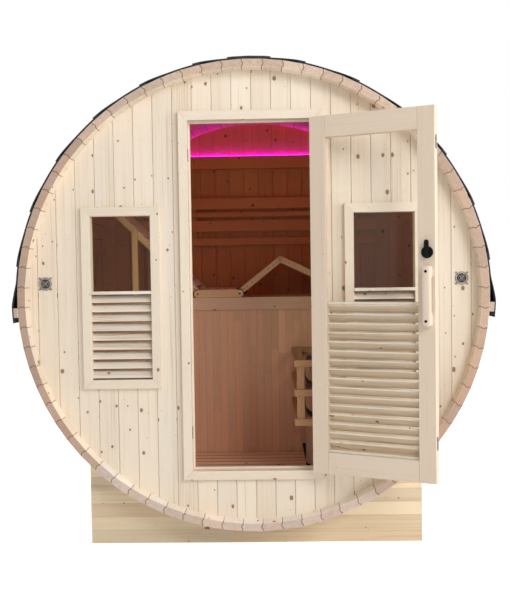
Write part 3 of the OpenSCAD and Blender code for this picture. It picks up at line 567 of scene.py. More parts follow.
class Piece:
    """Geometry of one visible piece, with a grain map, a seed for each solid and a mark for sawn ends."""

    def __init__(self, name, place=HERE):
        self.name = name
        self.place = place
        self.bm = bmesh.new()
        self.uv = self.bm.loops.layers.uv.new("grain")
        self.seed = self.bm.faces.layers.float.new("seed")
        self.end = self.bm.faces.layers.float.new("end")
        self.rnd = random.Random(name)

    def face(self, verts, uvs, seed, end=0.0, smooth=False, slot=0):
        try:
            made = self.bm.faces.new(verts)
        except ValueError:
            return
        for loop, uv in zip(made.loops, uvs):
            loop[self.uv].uv = uv
        made[self.seed] = seed
        made[self.end] = end
        made.smooth = smooth
        made.material_index = slot

    def rings(self, rows, runs, seed, smooth=False, slot=0, end=1.0, paint=None):
        """Closed skin over rows of points; runs gives the place of each row along the grain.

        Paint gives the slot of each strip of skin."""
        verts = [[self.bm.verts.new(self.place @ p) for p in row] for row in rows]
        count = len(rows[0])
        middle = rows[len(rows) // 2]
        at = [0.0]
        for i in range(count):
            at.append(at[-1] + (middle[(i + 1) % count] - middle[i]).length)
        for j in range(len(rows) - 1):
            for i in range(count):
                k = (i + 1) % count
                corners = ((j, i, i), (j, k, i + 1), (j + 1, k, i + 1), (j + 1, i, i))
                self.face([verts[row][point] for row, point, _ in corners],
                          [(at[side], runs[row]) for row, _, side in corners], seed, 0.0, smooth,
                          paint(j, rows[j][i], rows[j][k]) if paint else slot)
        for row, points, way in ((verts[0], rows[0], -1), (verts[-1], rows[-1], 1)):
            a = (points[count // 3] - points[0]).normalized()
            normal = sum((p.cross(q) for p, q in zip(points, points[1:] + points[:1])), Vector())
            b = normal.normalized().cross(a)
            uvs = [(p.dot(a), p.dot(b)) for p in points]
            self.face(row[::way], uvs[::way], seed, end, False, slot)

    def stick(self, outline, axes, start, stop, ease=1.2 * MM, soft=1.2 * MM, steps=2, slot=0, paint=None,
              marks=()):
        """A stick: an outline in the plane of the first two axes, run from start to stop along the third.

        Its ends and edges are eased, and its skin is divided at the marks."""
        a, b, c = axes
        if turned(outline) < 0:
            outline = outline[::-1]
        if a.cross(b).dot(c) < 0:
            outline = outline[::-1]
        shape = rounded(outline, soft, steps) if soft else outline
        small = shrunk(shape, ease) if turned(shape) > 0 else shrunk(shape[::-1], ease)[::-1]
        runs = [start, start + ease, *marks, stop - ease, stop]
        flats = [small, *[shape] * (len(runs) - 2), small]
        rows = [[a * p.x + b * p.y + c * run for p in flat] for flat, run in zip(flats, runs)]
        self.rings(rows, runs, self.rnd.random(), slot=slot, paint=paint)

    def board(self, low, high, grain, ease=1.2 * MM, soft=1.5 * MM, slot=0):
        """A board between two corners with eased edges; grain is the axis it runs along."""
        i, j = (grain + 1) % 3, (grain + 2) % 3
        outline = [Vector((a[i], b[j])) for a, b in ((low, low), (high, low), (high, high), (low, high))]
        self.stick(outline, AXES[grain], low[grain], high[grain], ease, soft, slot=slot)

    def from_shell(self, shell, axis, ease=1.2 * MM, soft=1.5 * MM, steps=2, paint=None, marks=()):
        """A prism CAD solid built again with eased edges, run along an axis."""
        axes = AXES[axis]
        low, high = shell_box(shell)
        outline = [Vector((p.dot(axes[0]), p.dot(axes[1]))) for p in end_loop(shell, axis)]
        self.stick(outline, axes, low[axis], high[axis], ease, soft, steps, paint=paint, marks=marks)

    def lathe(self, profile, centre, axis, count=24, slot=0, smooth=True):
        """A turned solid: profile is (run along the axis, radius) pairs."""
        axis = axis.normalized()
        side = axis.orthogonal().normalized()
        other = axis.cross(side)
        angles = [2 * pi * i / count for i in range(count)]
        rows = [[Vector(centre) + axis * run + polar(side, other, t) * max(radius, 1e-5) for t in angles]
                for run, radius in profile]
        self.rings(rows, [run for run, _ in profile], self.rnd.random(), smooth, slot, 0.0)

    def screw(self, centre, axis, size, slot=0):
        """A countersunk screw head with a hollow for the driver, face towards the axis."""
        self.lathe([(run * size, radius * size) for run, radius in SCREW], centre, axis, 16, slot)

    def copy(self, node, bevel, smooth, place, segments, pick):
        """A CAD node with eased convex edges and a grain map."""
        bm = merged(node, place)
        if bevel:
            edges = [edge for edge in bm.edges
                     if len(edge.link_faces) == 2 and edge.is_convex and edge.calc_face_angle(0) > EDGE_SHARP]
            bmesh.ops.bevel(bm, geom=edges, offset=bevel, offset_type="OFFSET", segments=segments,
                            profile=0.5, affect="EDGES", clamp_overlap=True)
        self.take(bm, smooth=smooth, pick=pick)

    def take(self, bm, across=None, grain=None, smooth=False, pick=None):
        """Moves a mesh in. A solid's grain runs along its longest side, unless given or picked by face."""
        bm.normal_update()
        made = {v: self.bm.verts.new(self.place @ v.co) for v in bm.verts}
        for group in solids(bm):
            low, high = shell_box([[v.co for v in face.verts] for face in group])
            order = sorted(range(3), key=lambda i: high[i] - low[i])
            own = {"grain": grain or (X, Y, Z)[order[2]], "across": across or (X, Y, Z)[order[1]],
                   "seed": self.rnd.random(), "slot": 0}
            for face in group:
                way = {**own, **pick(face)} if pick else own
                along, side = way["grain"], way["across"]
                third = along.cross(side).normalized()
                cut = abs(face.normal.dot(along)) > CUT_END
                if cut:
                    u, v = side, third
                else:
                    u, v = side if abs(face.normal.dot(side)) < SIDEWAYS else third, along
                self.face([made[vert] for vert in face.verts],
                          [(vert.co.dot(u), vert.co.dot(v)) for vert in face.verts],
                          way["seed"], float(cut), bool(smooth), way["slot"])
        bm.free()

    def done(self, materials, nodes=(), body="cabin", smooth=0.0):
        """The finished object, in the named materials, riding a body and standing for CAD nodes."""
        mesh = bpy.data.meshes.new(self.name)
        self.bm.to_mesh(mesh)
        self.bm.free()
        if smooth:
            mesh.set_sharp_from_angle(angle=radians(smooth))
        for key in materials.split():
            mesh.materials.append(M[key])
        made = bpy.data.objects.new(self.name, mesh)
        bpy.context.scene.collection.objects.link(made)
        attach(made, body)
        if nodes:
            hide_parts(*nodes)
        return made


def simple(node, name, materials, body="cabin", bevel=1.2 * MM, place=HERE, smooth=0.0, segments=2,
           pick=None):
    """A CAD node with eased edges; smooth is the angle in degrees past which its edges stay sharp."""
    piece = Piece(name, place)
    piece.copy(node, bevel, smooth, place.inverted(), segments, pick)
    piece.done(materials, [node], body, smooth)


def sticks(node, name, axis, materials, slot, body="cabin", ease=1.5 * MM, soft=2.0 * MM, steps=2, place=HERE,
           paint=None, marks=()):
    """A CAD node whose solids are all prisms along an axis."""
    piece = Piece(name, place)
    for shell in shells(node, place.inverted()):
        piece.from_shell(shell, axis, ease, soft, steps, paint, marks)
    piece.done(materials, [node], body)


def carve(bm, cutters):
    """A mesh less a set of cutting solids."""
    objects = []
    for name, source in (("carve_base", bm), ("carve_tool", cutters)):
        mesh = bpy.data.meshes.new(name)
        source.to_mesh(mesh)
        source.free()
        objects.append(bpy.data.objects.new(name, mesh))
        bpy.context.scene.collection.objects.link(objects[-1])
    base, tool = objects
    cut = base.modifiers.new("cut", "BOOLEAN")
    cut.operation, cut.solver, cut.object = "DIFFERENCE", "EXACT", tool
    bpy.context.view_layer.update()
    result = bpy.data.meshes.new_from_object(base.evaluated_get(bpy.context.evaluated_depsgraph_get()))
    made = bmesh.new()
    made.from_mesh(result)
    for mesh in (base.data, tool.data, result):
        bpy.data.meshes.remove(mesh)
    bmesh.ops.dissolve_limit(made, angle_limit=FLAT, verts=made.verts, edges=made.edges)
    return made


# Barrel
BOARD, FRONT_JOINT, BACK_JOINT = mm(89, 4, 10)
GROOVE_W, GROOVE_D, SLIT_W, SLIT_D, GROOVE_OVER = mm(5, 2.4, 1.5, 7, 0.4)
FRONT_FACES = ((FRONT_Y, 1, 1.0), (FRONT_IN_Y, -1, 1.0))
BACK_FACES = ((WALL_LOW.y, 1, 1.5), (WALL_HIGH.y, -1, 1.0))
ROOM_ROW = 2


def stave_paint(row, a, b):
    """Slots of a stave's skin: 1 between staves, where the eased edges are painted dark, partly as darkened
    end grain and partly as painted shade in the joint; 2 inside the room, 0 elsewhere.
    """
    middle = (a + b) / 2
    out = Vector((middle.x, 0, middle.z - AXIS_Z))
    if abs((b - a).normalized().dot(out.normalized())) > 0.5:
        return 1
    return 2 if row == ROOM_ROW and out.length < WALL_R else 0


for part, outside in (("floor", "floor_stave"), ("left", "stave"), ("right", "stave"),
                      ("roof", "roof_stave")):
    sticks(part + "_staves", part + "_stave_boards", 1, outside + " seam room_stave", "stave_pine",
           ease=1.6 * MM, soft=1.2 * MM, steps=1, paint=stave_paint, marks=(FRONT_IN_Y, WALL_LOW.y))


def grooves(faces, joint):
    """Cutters for the joints of upright boards; faces holds (y, way into the wood, share of the width)."""
    bm = bmesh.new()
    for k in range(ceil((-WALL_R - joint) / BOARD), floor((WALL_R - joint) / BOARD) + 1):
        x = joint + k * BOARD
        for y, way, share in faces:
            wide, slit = share * GROOVE_W / 2 + GROOVE_OVER, share * SLIT_W / 2
            shape = [(-wide, -GROOVE_OVER), (wide, -GROOVE_OVER), (slit, GROOVE_D), (slit, SLIT_D),
                     (-slit, SLIT_D), (-slit, GROOVE_D)]
            ends = (AXIS_Z - BARREL_R, AXIS_Z + BARREL_R)
            prism(bm, *([(x + a, y + way * b, z) for a, b in shape] for z in ends))
    bmesh.ops.recalc_face_normals(bm, faces=bm.faces)
    return bm


def wall(node, faces, joint, lot, materials, room_y=-inf):
    """A part of an end wall, cut into upright boards with seeds of their own; slot 1 is short of room_y."""
    def pick(face):
        centre = face.calc_center_median()
        number = floor((centre.x - joint) / BOARD)
        return {"seed": random.Random(number * 7 + lot).random(), "slot": int(centre.y < room_y)}

    piece = Piece(node + "_boards")
    piece.take(carve(merged(node), grooves(faces, joint)), X, Z, pick=pick)
    piece.done(materials, [node])


for part in ("left", "right", "over_door", "under_door"):
    wall("front_wall_" + part, FRONT_FACES, FRONT_JOINT, 3, "board")
wall("back_wall", BACK_FACES, BACK_JOINT, 5, "board back", (WALL_LOW.y + WALL_HIGH.y) / 2)
simple("hoop_bands", "hoop_bands_steel", "steel", bevel=0, smooth=30)

LUG_TURN = radians(-28)
LUG = mm((14, -1.5), (44, -1), (44, 0.8), (17, 1.6), (16.5, 21), (14, 21))
LUG_NUT = mm((0, 0.1), (0, 6.5), (5, 6.5), (5.5, 5.5), (5.5, 0.1))
LUG_BOLT = mm((-30, 0.1), (-30, 3.6), (-29.5, 4), (29.5, 4), (30, 3.6), (30, 0.1))
LUG_NUT_OUT, LUG_BOLT_UP = mm(17, 12)


def band_lugs():
    """The bent ends of each steel band, drawn together by a bolt."""
    piece = Piece("hoop_band_lugs")
    for shell in shells("hoop_bands"):
        low, high = shell_box(shell)
        half, out = (high.y - low.y) / 2, (high.x - low.x) / 2
        centre = Vector((0, (low.y + high.y) / 2, AXIS_Z))
        for side in (-1, 1):
            radial = polar(X * side, Z, LUG_TURN)
            piece.place = standing(Y.cross(radial), Y, radial, centre + radial * out)
            for way in (-1, 1):
                outline = [Vector((way * a, b)) for a, b in LUG]
                piece.stick(outline, (X, Z, Y), -half, half, ease=0.4 * MM, soft=0.5 * MM)
                piece.lathe(LUG_NUT, (way * LUG_NUT_OUT, 0, LUG_BOLT_UP), X * way, 6, 1, smooth=False)
            piece.lathe(LUG_BOLT, (0, 0, LUG_BOLT_UP), X, 14, 1)
    piece.done("steel zinc_screw")


band_lugs()

# Door frame, windows and vents
SLAT_FACE = 20 * MM
SLAT_EASE = {"ease": 0.6 * MM, "soft": 1.6 * MM}


def underside(row, a, b):
    """Slot 1 for the skin of a slat that faces down and back into the opening, painted dark as the shade in
    the gap under each slat.
    """
    return 1 if (b - a).cross(X).normalized().z < -0.3 else 0


def slat_edge(row, a, b):
    """Slot 1 for the narrow edges of a slat, painted pale as a highlight along the edges and gaps of the
    slats.
    """
    return 1 if (b - a).length < SLAT_FACE else 0


for node in ("door_jamb_left", "door_jamb_right", "door_head", "door_sill", "left_window_frame",
             "right_window_frame"):
    simple(node, node + "_wood", "frame")
simple("window_glass", "window_panes", "window_pane", bevel=0)
sticks("window_louvres", "window_louvre_slats", 0, "louvre louvre_shade", "frame_pine",
       paint=underside, **SLAT_EASE)
sticks("door_louvres", "door_louvre_slats", 0, "slat slat_edge", "leaf_pine", "door", place=SWING,
       paint=slat_edge, **SLAT_EASE)
simple("vent_guards", "vent_guard_wire", "wire_guard", bevel=0, smooth=40)

# Door leaf
for node in ("door_stiles", "door_rails"):
    simple(node, node + "_wood", "leaf", "door", 1.6 * MM, SWING)
simple("door_glass", "door_pane_glass", "door_pane", "door", 0, SWING)
for node in ("door_handle_inside", "door_handle_outside"):
    simple(node, node + "_wood", "handle", "door", place=SWING, smooth=50)
simple("frame_hinges", "frame_hinge_steel", "steel", "cabin", 0.3 * MM, smooth=40)
simple("door_hinges", "door_hinge_steel", "steel", "door", 0.3 * MM, SWING, 40)
simple("latch_rose", "latch_rose_black", "black_paint", "door", 1.2 * MM, SWING, 40)
simple("latch_lever", "latch_lever_black", "black_paint", "latch", 2.5 * MM, SWING, 40, 3)

LEAF_LOW, LEAF_HIGH = box_in("door_stiles", SHUT)
LEAF_Y = (LEAF_LOW.y + LEAF_HIGH.y) / 2
DOOR_GAP, BOLT_REACH = mm(5, 103)
HANDLE_BOLT = mm((-1, 0.1), (-1, 6), (0.5, 6), (0.9, 5.4), (0.9, 4.3), (0.35, 4), (0.3, 0.1))
ROSE_SCREW_R, ROSE_SCREW_TURNS = 19 * MM, (radians(45), radians(225))
HINGE_T, HINGE_SCREW_IN, HINGE_SCREWS_UP = mm(2, 13.5, (-27, 0, 27))
CATCH_Z = (0.525, 1.782)
CATCH_T, CATCH_SUNK, CATCH_HALF, CATCH_SCREWS_UP = mm(1.2, 1, 28, (-20, 20))
CATCH_BALL = mm((0, 0.1), (0, 5.5), (1.2, 4.5), (2, 2.2), (2.2, 0.1))
LEAF_PLATE, FRAME_PLATE = mm((8, 8), (9, 11))
VENT_SHADE_DISC = mm((0, 0.1), (0, 21.5), (1, 21.5), (1, 0.1))
VENT_SHADE_DISC_IN, VENT_SCREW_SHARE = 14 * MM, 0.8
SMALL_SCREW, CATCH_SCREW, HINGE_SCREW = mm(2.6, 3, 3.6)
THIN = {"ease": 0.3 * MM, "soft": 0.4 * MM}


def hinge_screws(piece, shell, x):
    low, high = shell_box(shell)
    for up in HINGE_SCREWS_UP:
        piece.screw((x, LEAF_LOW.y - HINGE_T, (low.z + high.z) / 2 + up), -Y, HINGE_SCREW)


def catch(piece, x, way, z, plate, ball=False):
    """A catch plate let into an edge that faces the way along X, with its ball and screws."""
    near, far = sorted((x - way * CATCH_SUNK, x + way * CATCH_T))
    piece.board((near, LEAF_Y - plate[0], z - CATCH_HALF), (far, LEAF_Y + plate[1], z + CATCH_HALF), 2,
                slot=1, **THIN)
    if ball:
        piece.lathe(CATCH_BALL, (x + way * CATCH_SUNK, LEAF_Y, z), X * way, 16)
    for up in CATCH_SCREWS_UP:
        piece.screw((x + way * CATCH_T, LEAF_Y, z + up), X * way, CATCH_SCREW)


def leaf_fittings():
    """Handle bolts, latch screws, hinge screws and the two catches at the leaf's free edge."""
    piece = Piece("door_small_fittings", SWING)
    for node, way in (("door_handle_inside", 1), ("door_handle_outside", -1)):
        low, high = box_in(node, SHUT)
        middle = (low + high) / 2
        for up in (-BOLT_REACH, BOLT_REACH):
            piece.lathe(HANDLE_BOLT, (middle.x, high.y if way > 0 else low.y, middle.z + up), Y * way, 20, 1)
    low, high = box_in("latch_rose", SHUT)
    middle = (low + high) / 2
    for turn in ROSE_SCREW_TURNS:
        spot = Vector((middle.x, high.y, middle.z)) + polar(X, Z, turn) * ROSE_SCREW_R
        piece.screw(spot, Y, SMALL_SCREW, 1)
    for shell in shells("door_hinges", SHUT):
        hinge_screws(piece, shell, shell_box(shell)[0].x + HINGE_SCREW_IN)
    for z in CATCH_Z:
        catch(piece, LEAF_LOW.x, -1, z, LEAF_PLATE, True)
    piece.done("zinc_screw black_paint", body="door")


def frame_fittings():
    """Hinge screws and catches of the door frame, and the screws of the vents with a dark disc behind each
    guard, painted shade for the dark inside the vent.
    """
    piece = Piece("door_frame_small_fittings")
    for shell in shells("frame_hinges"):
        hinge_screws(piece, shell, shell_box(shell)[1].x - HINGE_SCREW_IN)
    for z in CATCH_Z:
        catch(piece, LEAF_LOW.x - DOOR_GAP, 1, z, FRAME_PLATE)
    for shell in shells("vent_guards"):
        low, high = shell_box(shell)
        middle = (low + high) / 2
        reach = (high.x - low.x) / 2 * VENT_SCREW_SHARE
        # A near-black disc behind each vent guard: painted shade in the vent.
        piece.lathe(VENT_SHADE_DISC, (middle.x, FRONT_Y + VENT_SHADE_DISC_IN, middle.z), Y, 32, 2)
        for a in (-reach, reach):
            for b in (-reach, reach):
                piece.screw((middle.x + a, low.y, middle.z + b), -Y, SMALL_SCREW)
    piece.done("zinc_screw black_paint dark_gap")


leaf_fittings()
frame_fittings()

# Roof
TABS, TAB_GAP = 5, 5 * MM
UNDERLAY_REACH, UNDERLAY_STEPS, UNDERLAY_IN = radians(93), 96, 2 * MM
UNDERLAY_R = (BARREL_R + 1.3 * MM, BARREL_R + 2.2 * MM)


def shingles(node, name):
    """Rows of shingles, each parted into tabs that break joint with the row above."""
    piece = Piece(name)
    for k, shell in enumerate(sorted(shells(node), key=lambda shell: -shell_box(shell)[1].z)):
        loop = [Vector((p.z, p.x)) for p in end_loop(shell, 1)]
        start, stop = (corner.y for corner in shell_box(shell))
        width = (stop - start) / TABS
        marks = [start] + [start + (j + (0.5 if k % 2 else 1.0)) * width for j in range(TABS)]
        marks = [mark for mark in marks if mark < stop - width / 4] + [stop]
        for a, b in zip(marks, marks[1:]):
            first = a if a == start else a + TAB_GAP / 2
            final = b if b == stop else b - TAB_GAP / 2
            piece.stick(loop, AXES[1], first, final, ease=0.5 * MM, soft=0.6 * MM, steps=1)
    piece.done("shingle_felt", [node])


def underlay():
    """The thin sheet between the staves and the shingles."""
    low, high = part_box("left_shingles")
    turns = [UNDERLAY_REACH * (2 * i / UNDERLAY_STEPS - 1) for i in range(UNDERLAY_STEPS + 1)]
    inner, outer = ([Vector((AXIS_Z + r * cos(t), r * sin(t))) for t in turns] for r in UNDERLAY_R)
    piece = Piece("roof_underlay")
    start, stop = low.y + UNDERLAY_IN, high.y - UNDERLAY_IN
    piece.stick(inner + outer[::-1], AXES[1], start, stop, ease=0.2 * MM, soft=0)
    piece.done("underlay_felt")


shingles("left_shingles", "left_shingle_tabs")
shingles("right_shingles", "right_shingle_tabs")
shingles("ridge_cap", "ridge_cap_tabs")
underlay()
sticks("eave_battens", "eave_batten_wood", 1, "frame", "frame_pine")
simple("cradles", "cradle_boards", "cradle", bevel=1.5 * MM)

# Room
UPRIGHT = {"across": X, "grain": Z, "seed": 0.37}
# How far the light strip's lens and the emitter behind it stand off the wall, and how high they rise
LED_BARS = mm((6, 4.6, 9), (4.5, 0.5, 8.5))
LED_DOWN = 2 * MM


def slat_side(row, a, b):
    """Slot 1 for the upright sides of a floor slat, painted near black as the shade in the gaps between
    slats.
    """
    return 1 if abs((b - a).normalized().z) > 0.6 else 0


def led_lens():
    """The thin lens of the light strip, and the emitter behind it that lights the ceiling."""
    low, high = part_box("led_strip")
    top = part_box("cove_board")[1].z
    piece = Piece("led_strip_lens")
    for slot, (near, far, up) in enumerate(LED_BARS):
        piece.board((low.x, WALL_LOW.y - near, top - LED_DOWN), (high.x, WALL_LOW.y - far, top + up), 0,
                    slot=slot, **THIN)
    piece.done("light_strip_lens light_strip_upper")


sticks("floor_slats", "floor_slat_boards", 0, "floor room_seam", "inside_pine", soft=2.5 * MM,
       paint=slat_side)
simple("floor_joists", "floor_joist_wood", "inside")
simple("bench_front", "bench_front_panel", "panel", pick=lambda face: UPRIGHT)
simple("bench_apron", "bench_apron_wood", "panel_rail")
sticks("bench_top", "bench_top_slats", 0, "inside", "inside_pine")
simple("bench_bearers", "bench_bearer_wood", "inside")
simple("backrest", "backrest_rails", "back")
simple("cove_board", "cove_board_wood", "back")
simple("led_strip", "led_strip_light", "light_strip", bevel=0.5 * MM)
led_lens()

# Lounger
SEAT, HIP, KNEE = (Vector(JOINTS[name]["pos_m"])
                   for name in ("lounger_back_tilt", "lounger_knee_lower", "lounger_calf_fold"))
BACK_LEAN = radians(44.7)
THIGH_RISE = atan2(KNEE.z - HIP.z, KNEE.x - HIP.x)
CALF_LEAN = radians(-JOINTS["lounger_calf_fold"]["range_deg"][0]) - THIGH_RISE
SEAT_FRONT, SEAT_BACK = (corner.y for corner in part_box("lounger_seat"))
SEAT_Y, SEAT_HALF = (SEAT_FRONT + SEAT_BACK) / 2, (SEAT_BACK - SEAT_FRONT) / 2
LATH_STEP, LATH_FIRST, BAR_R, BAR_LAYER = mm(56, 59, 16, 30)
BAR_SCREW, BAR_SCREW_RUNS = mm(2.4, (29, 50, 84))
PIVOT_R, PIVOT_HEAD = mm(9, 4)
PIVOT_BOLT = mm((-2, 0.1), (-2, 4.2), (0.3, 4), (0.6, 3.2), (0.1, 1.8), (0.1, 0.1))
PIVOT_WASHER = [(run - PIVOT_HEAD, PIVOT_R + wide)
                for run, wide in mm((0, -1), (0, 1.6), (0.5, 1.3), (0.5, -1))]
BAR_FACE = SEAT_HALF - PIVOT_HEAD
CHEEK_R, CHEEK_UP, CHEEK_OUT = mm(20.5, 0.5, (0.3, 3.4))
CHEEK_STEPS = 12
CHEEK_SHADE_DISC = mm((0, 0.1), (0, 24.5), (0.25, 24.3), (0.25, 0.1))
CHEEK_BOLT = mm((3.2, 0.1), (3.2, 5), (4.7, 4.4), (4.4, 2), (4.4, 0.1))


def lounger_part(node, body, spot, lean, way, inset, runs=BAR_SCREW_RUNS):
    """A part of the lounger and its screws, which runs from its pivot the way along X, turned by the lean."""
    def pick(face):
        centre = face.calc_center_median()
        # Laths take slot 1, the wood with painted pink light.
        if abs(centre.y) < SEAT_HALF / 2:
            number = floor((abs(centre.x) - LATH_FIRST) / LATH_STEP + 0.5)
            seed = random.Random(number * 13 + len(node)).random()
            return {"seed": seed, "across": X, "grain": Y, "slot": 1}
        return {"seed": 0.31 if centre.y < 0 else 0.77, "across": Z, "grain": X}

    place = Matrix.Translation(spot) @ Matrix.Rotation(lean, 4, "Y")
    simple(node, node + "_wood", "lounger lath", body, place=place, pick=pick)
    piece = Piece(node + "_screws", place)
    low, high = box_in(node, place.inverted())
    length = max(abs(low.x), abs(high.x)) - BAR_R
    for side in (-1, 1):
        for run in runs:
            for along in (run, length - run):
                piece.screw((way * along, side * (BAR_FACE - inset), 0), Y * side, BAR_SCREW)
    if node == "lounger_thigh":
        for side in (-1, 1):
            at = ((KNEE - HIP).length, side * SEAT_HALF, 0)
            piece.lathe(PIVOT_BOLT, at, Y * side, 16)
            piece.lathe(PIVOT_WASHER, at, Y * side)
    piece.done("black_paint", body=body)


def seat_cheeks():
    """Round-ended plates at the sides of the seat, with a black disc at each pivot whose rim shows as painted
    shade round the plate's ends, and a bolt at each pivot.
    """
    piece = Piece("lounger_seat_cheeks")
    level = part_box("bench_top")[1].z + CHEEK_UP + CHEEK_R
    turns = [pi * (k / CHEEK_STEPS - 0.5) for k in range(CHEEK_STEPS + 1)]
    pill = [(x + way * CHEEK_R * cos(t), level + way * CHEEK_R * sin(t))
            for x, way in ((HIP.x, 1), (SEAT.x, -1)) for t in turns]
    for side in (-1, 1):
        bm = bmesh.new()
        prism(bm, *([(x, SEAT_Y + side * (BAR_FACE + out), z) for x, z in pill] for out in CHEEK_OUT))
        bmesh.ops.recalc_face_normals(bm, faces=bm.faces)
        piece.take(bm, Z, X)
        for x in (SEAT.x, HIP.x):
            at = (x, SEAT_Y + side * BAR_FACE, level)
            # The black disc's rim is painted shade: the shadow line round the plate's ends.
            piece.lathe(CHEEK_SHADE_DISC, at, Y * side, 40, 1)
            piece.lathe(CHEEK_BOLT, at, Y * side, 20, 1)
    piece.done("lounger black_paint")


lounger_part("lounger_seat", "cabin", SEAT, 0.0, 1, 0.0, BAR_SCREW_RUNS[:1])
lounger_part("lounger_back", "lounger_back", SEAT, BACK_LEAN, -1, BAR_LAYER)
lounger_part("lounger_thigh", "lounger_thigh", HIP, -THIGH_RISE, 1, BAR_LAYER)
lounger_part("lounger_calf", "lounger_calf", KNEE, CALF_LEAN, 1, 0.0)
seat_cheeks()

# Heater
# Shape and places of the dark crescents on the drum, painted as the shade of its openings
OPENING = mm((-1, 76), (0.7, 76), (0.7, 46), (-1, 46))
OPENING_HALF, OPENING_RUN, OPENINGS_UP = mm(150, 8, (497, 350))
OPENING_STEPS, OPENING_TURNS = 40, (radians(180), radians(330))
LEG_TURNS = [radians(turn) for turn in (170, 290, 50)]
LEG_FOOT_IN, LEG_HEAD_OUT, LEG_RISE, LEG_LOW, LEG_HALF, LEG_FRONT = mm(9, 13, 128, (-9, -15, 0.5), 9, 4)
# Layers of the pile: stones, share of the bed's radius, depth of their middles under its top and size in mm
STONE_LAYERS = ((15, 0.83, 23, 29), (11, 0.58, 19, 29), (6, 0.32, 17, 28),
                (1, 0.0, 15, 28), (13, 0.7, 69, 30), (8, 0.4, 65, 32))
STONE_STRETCH = ((0.85, 1.1), (0.7, 0.95), (0.55, 0.75))
STONE_LUMPS = ((0.28, 1.1), (0.1, 3.1))
STONE_NOISE_SPAN, STONE_TIP = 50, 0.5
GUARD_SCREWS_UP, GUARD_SCREW, GUARD_SCREW_IN = mm((80, 242), 3.5, (28, 57))
GUARD_RAIL, GUARD_POST, GUARD_GAP = mm(22, 35, 0.5)


def heater_openings():
    """Dark crescent strips round the drum, painted shade standing for its openings, and its three black legs.
    """
    low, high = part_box("heater_body")
    base = Vector(((low.x + high.x) / 2, (low.y + high.y) / 2, low.z))
    out = (high.x - low.x) / 2
    piece = Piece("heater_openings")
    for up in OPENINGS_UP:
        for start in OPENING_TURNS:
            rows = []
            for i in range(OPENING_STEPS + 1):
                t = pi * i / OPENING_STEPS
                turn = start + OPENING_HALF * (1 - cos(t)) / out
                way = polar(X, Y, turn)
                rows.append([base + way * (out + proud) + Z * (up - drop * sin(t))
                             for proud, drop in OPENING])
            piece.rings(rows, [i * OPENING_RUN for i in range(OPENING_STEPS + 1)], 0.5)
    for turn in LEG_TURNS:
        way = polar(X, Y, turn)
        leg = way * (LEG_FOOT_IN + LEG_HEAD_OUT) + Z * LEG_RISE
        piece.place = standing(Z.cross(way), way, leg.normalized(), base + way * (out - LEG_FOOT_IN))
        piece.board(LEG_LOW, (LEG_HALF, LEG_FRONT, leg.length), 2, slot=1)
    piece.done("dark_gap black_paint")


def heater_stones():
    """A pile of split stones, each a rough ball stretched, tipped and turned."""
    low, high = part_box("heater_stones")
    top = Vector(((low.x + high.x) / 2, (low.y + high.y) / 2, high.z))
    out = (high.x - low.x) / 2
    rnd = random.Random("stones")
    piece = Piece("heater_stone_pile")
    for count, share, depth, size in STONE_LAYERS:
        for i in range(count):
            a = 2 * pi * (i + rnd.random() * 0.5) / count
            shift = Vector([rnd.random() * STONE_NOISE_SPAN for _ in range(3)])
            stretch = [rnd.uniform(*span) for span in STONE_STRETCH]
            bm = bmesh.new()
            bmesh.ops.create_icosphere(bm, subdivisions=3, radius=1.0)
            for v in bm.verts:
                rough = 1 + sum(lump * noise.noise(v.co * fine + shift) for lump, fine in STONE_LUMPS)
                v.co = Vector([c * k for c, k in zip(v.co, stretch)]) * rough * size * MM
            spin = Matrix.Rotation(rnd.uniform(0, 6.28), 4, "Z")
            spin = spin @ Matrix.Rotation(rnd.uniform(-STONE_TIP, STONE_TIP), 4, "X")
            spot = top + polar(X, Y, a) * out * share - Z * depth * MM
            bm.transform(Matrix.Translation(spot) @ spin)
            piece.take(bm, X, Z, smooth=True)
    piece.done("heater_stone", ["heater_stones"], smooth=40)


def guard_pick(face):
    """Grain along each rail and post of the heater's guard."""
    low, high = shell_box([[v.co for v in face.verts]])
    size = list(high - low)
    long = size.index(max(size))
    return {"grain": (X, Y, Z)[long], "across": Z if long != 2 else (X if size[0] > size[1] else Y),
            "seed": random.Random(int(low.z * 40) + 100 * long).random()}


def heater_guard():
    """The wooden guard, the screws in its near post, and its rear rails and post along the bench."""
    simple("heater_guard", "heater_guard_wood", "guard", pick=guard_pick)
    low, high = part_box("heater_guard")
    screws = Piece("heater_guard_screws")
    for up in GUARD_SCREWS_UP:
        screws.screw((low.x + GUARD_SCREW_IN[0], FRONT_IN_Y + GUARD_SCREW_IN[1], low.z + up), -Y, GUARD_SCREW)
    screws.done("zinc_screw")
    levels = sorted({round(v.co.z, 4) for v in frame["nodes"]["heater_guard"].data.vertices})
    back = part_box("bench_front")[0].y - GUARD_GAP
    left, near = low.x + GUARD_RAIL, back - GUARD_RAIL
    rear = Piece("heater_guard_rear")
    for bottom, top in zip(levels[::2], levels[1::2]):
        rear.board((left, near, bottom), (high.x, back, top), 0)
    rear.board((left, near - GUARD_POST, levels[0]), (left + GUARD_POST, near, levels[-1]), 2)
    rear.done("guard")


simple("heater_body", "heater_drum", "steel", bevel=1 * MM, smooth=40)
heater_openings()
heater_stones()
heater_guard()

# Studio
KEY_WATTS, SIDE_WATTS, REAR_WATTS = 152, 80, 180
WORLD_FILL, FLOOR_LIFT, FLOOR_HALF = 0.48, 0.62, 40.0
WHITE = (1, 1, 1, 1)


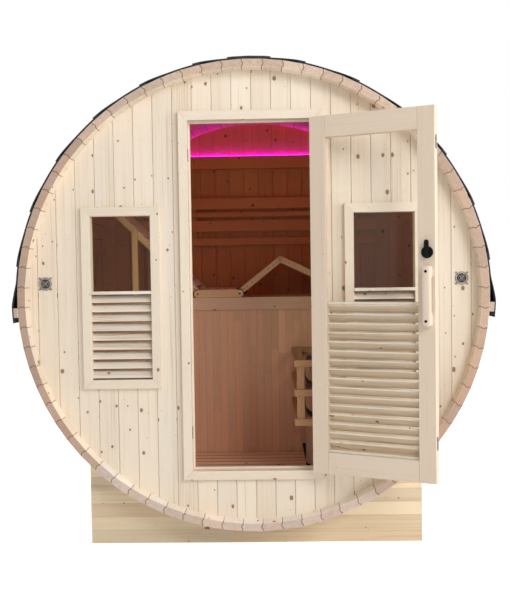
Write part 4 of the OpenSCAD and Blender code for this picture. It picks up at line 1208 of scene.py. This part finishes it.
def studio_floor():
    """A plain pale floor, lifted towards white where the camera sees it."""
    mesh = bpy.data.meshes.new("studio_floor")
    corners = [(FLOOR_HALF * a, FLOOR_HALF * b, 0) for a, b in ((-1, -1), (1, -1), (1, 1), (-1, 1))]
    mesh.from_pydata(corners, [], [(0, 1, 2, 3)])
    sheet = bpy.data.objects.new("studio_floor", mesh)
    bpy.context.scene.collection.objects.link(sheet)
    s = paint("studio_paper")
    paper = s.node("BsdfDiffuse", s.mix(s.noise(s.place(), 3.0, 3.0), (0.9, 0.9, 0.9), (0.92, 0.92, 0.92)))
    s.show(s.node("AddShader", paper, s.node("Emission", Strength=s.seen() * FLOOR_LIFT)))
    mesh.materials.append(M["studio_paper"])


def studio_air():
    """A soft fill from all round, white where the camera sees it."""
    world = bpy.data.worlds.new("studio_air")
    bpy.context.scene.world = world
    s = Graph(world, "World")
    fill, white = (s.node("Background", WHITE, strength) for strength in (WORLD_FILL, 1.0))
    s.show(s.node("MixShader", s.seen(), fill, white))


def area_light(name, spot, aim, size, watts):
    light = bpy.data.lights.new(name, "AREA")
    light.shape, light.size, light.energy = "DISK", size, watts
    made = bpy.data.objects.new(name, light)
    bpy.context.scene.collection.objects.link(made)
    made.location = spot
    made.rotation_mode = "QUATERNION"
    made.rotation_quaternion = (Vector(aim) - Vector(spot)).to_track_quat("-Z", "Y")


studio_floor()
studio_air()
area_light("key_light", (3.1, -5.3, 4.0), (0, -0.5, 1.1), 3.0, KEY_WATTS)
area_light("side_light", (4.8, -2.6, 2.0), (0.5, -0.7, 1.0), 2.0, SIDE_WATTS)
area_light("rear_light", (-3.5, 5.0, 4.0), (0, 0.5, 1.1), 3.5, REAR_WATTS)

# Camera, solved from the photograph
CAMERA_AT = (0.0930, -4.5188, 1.2750)
CAMERA_TURN = (87.7486, 0.8446, 1.2111)
FOCAL_PX, LONG_SIDE_PX, SENSOR_MM = 839.3, 600, 36.0
view = bpy.data.cameras.new("photo_camera")
view.sensor_fit = "AUTO"
view.sensor_width = SENSOR_MM
view.lens = SENSOR_MM * FOCAL_PX / LONG_SIDE_PX
view.clip_start, view.clip_end = 0.05, 200
camera = bpy.data.objects.new("photo_camera", view)
camera.location = CAMERA_AT
camera.rotation_euler = [radians(turn) for turn in CAMERA_TURN]
bpy.context.scene.collection.objects.link(camera)
bpy.context.scene.camera = camera
bpy.context.scene.view_settings.view_transform = "Standard"
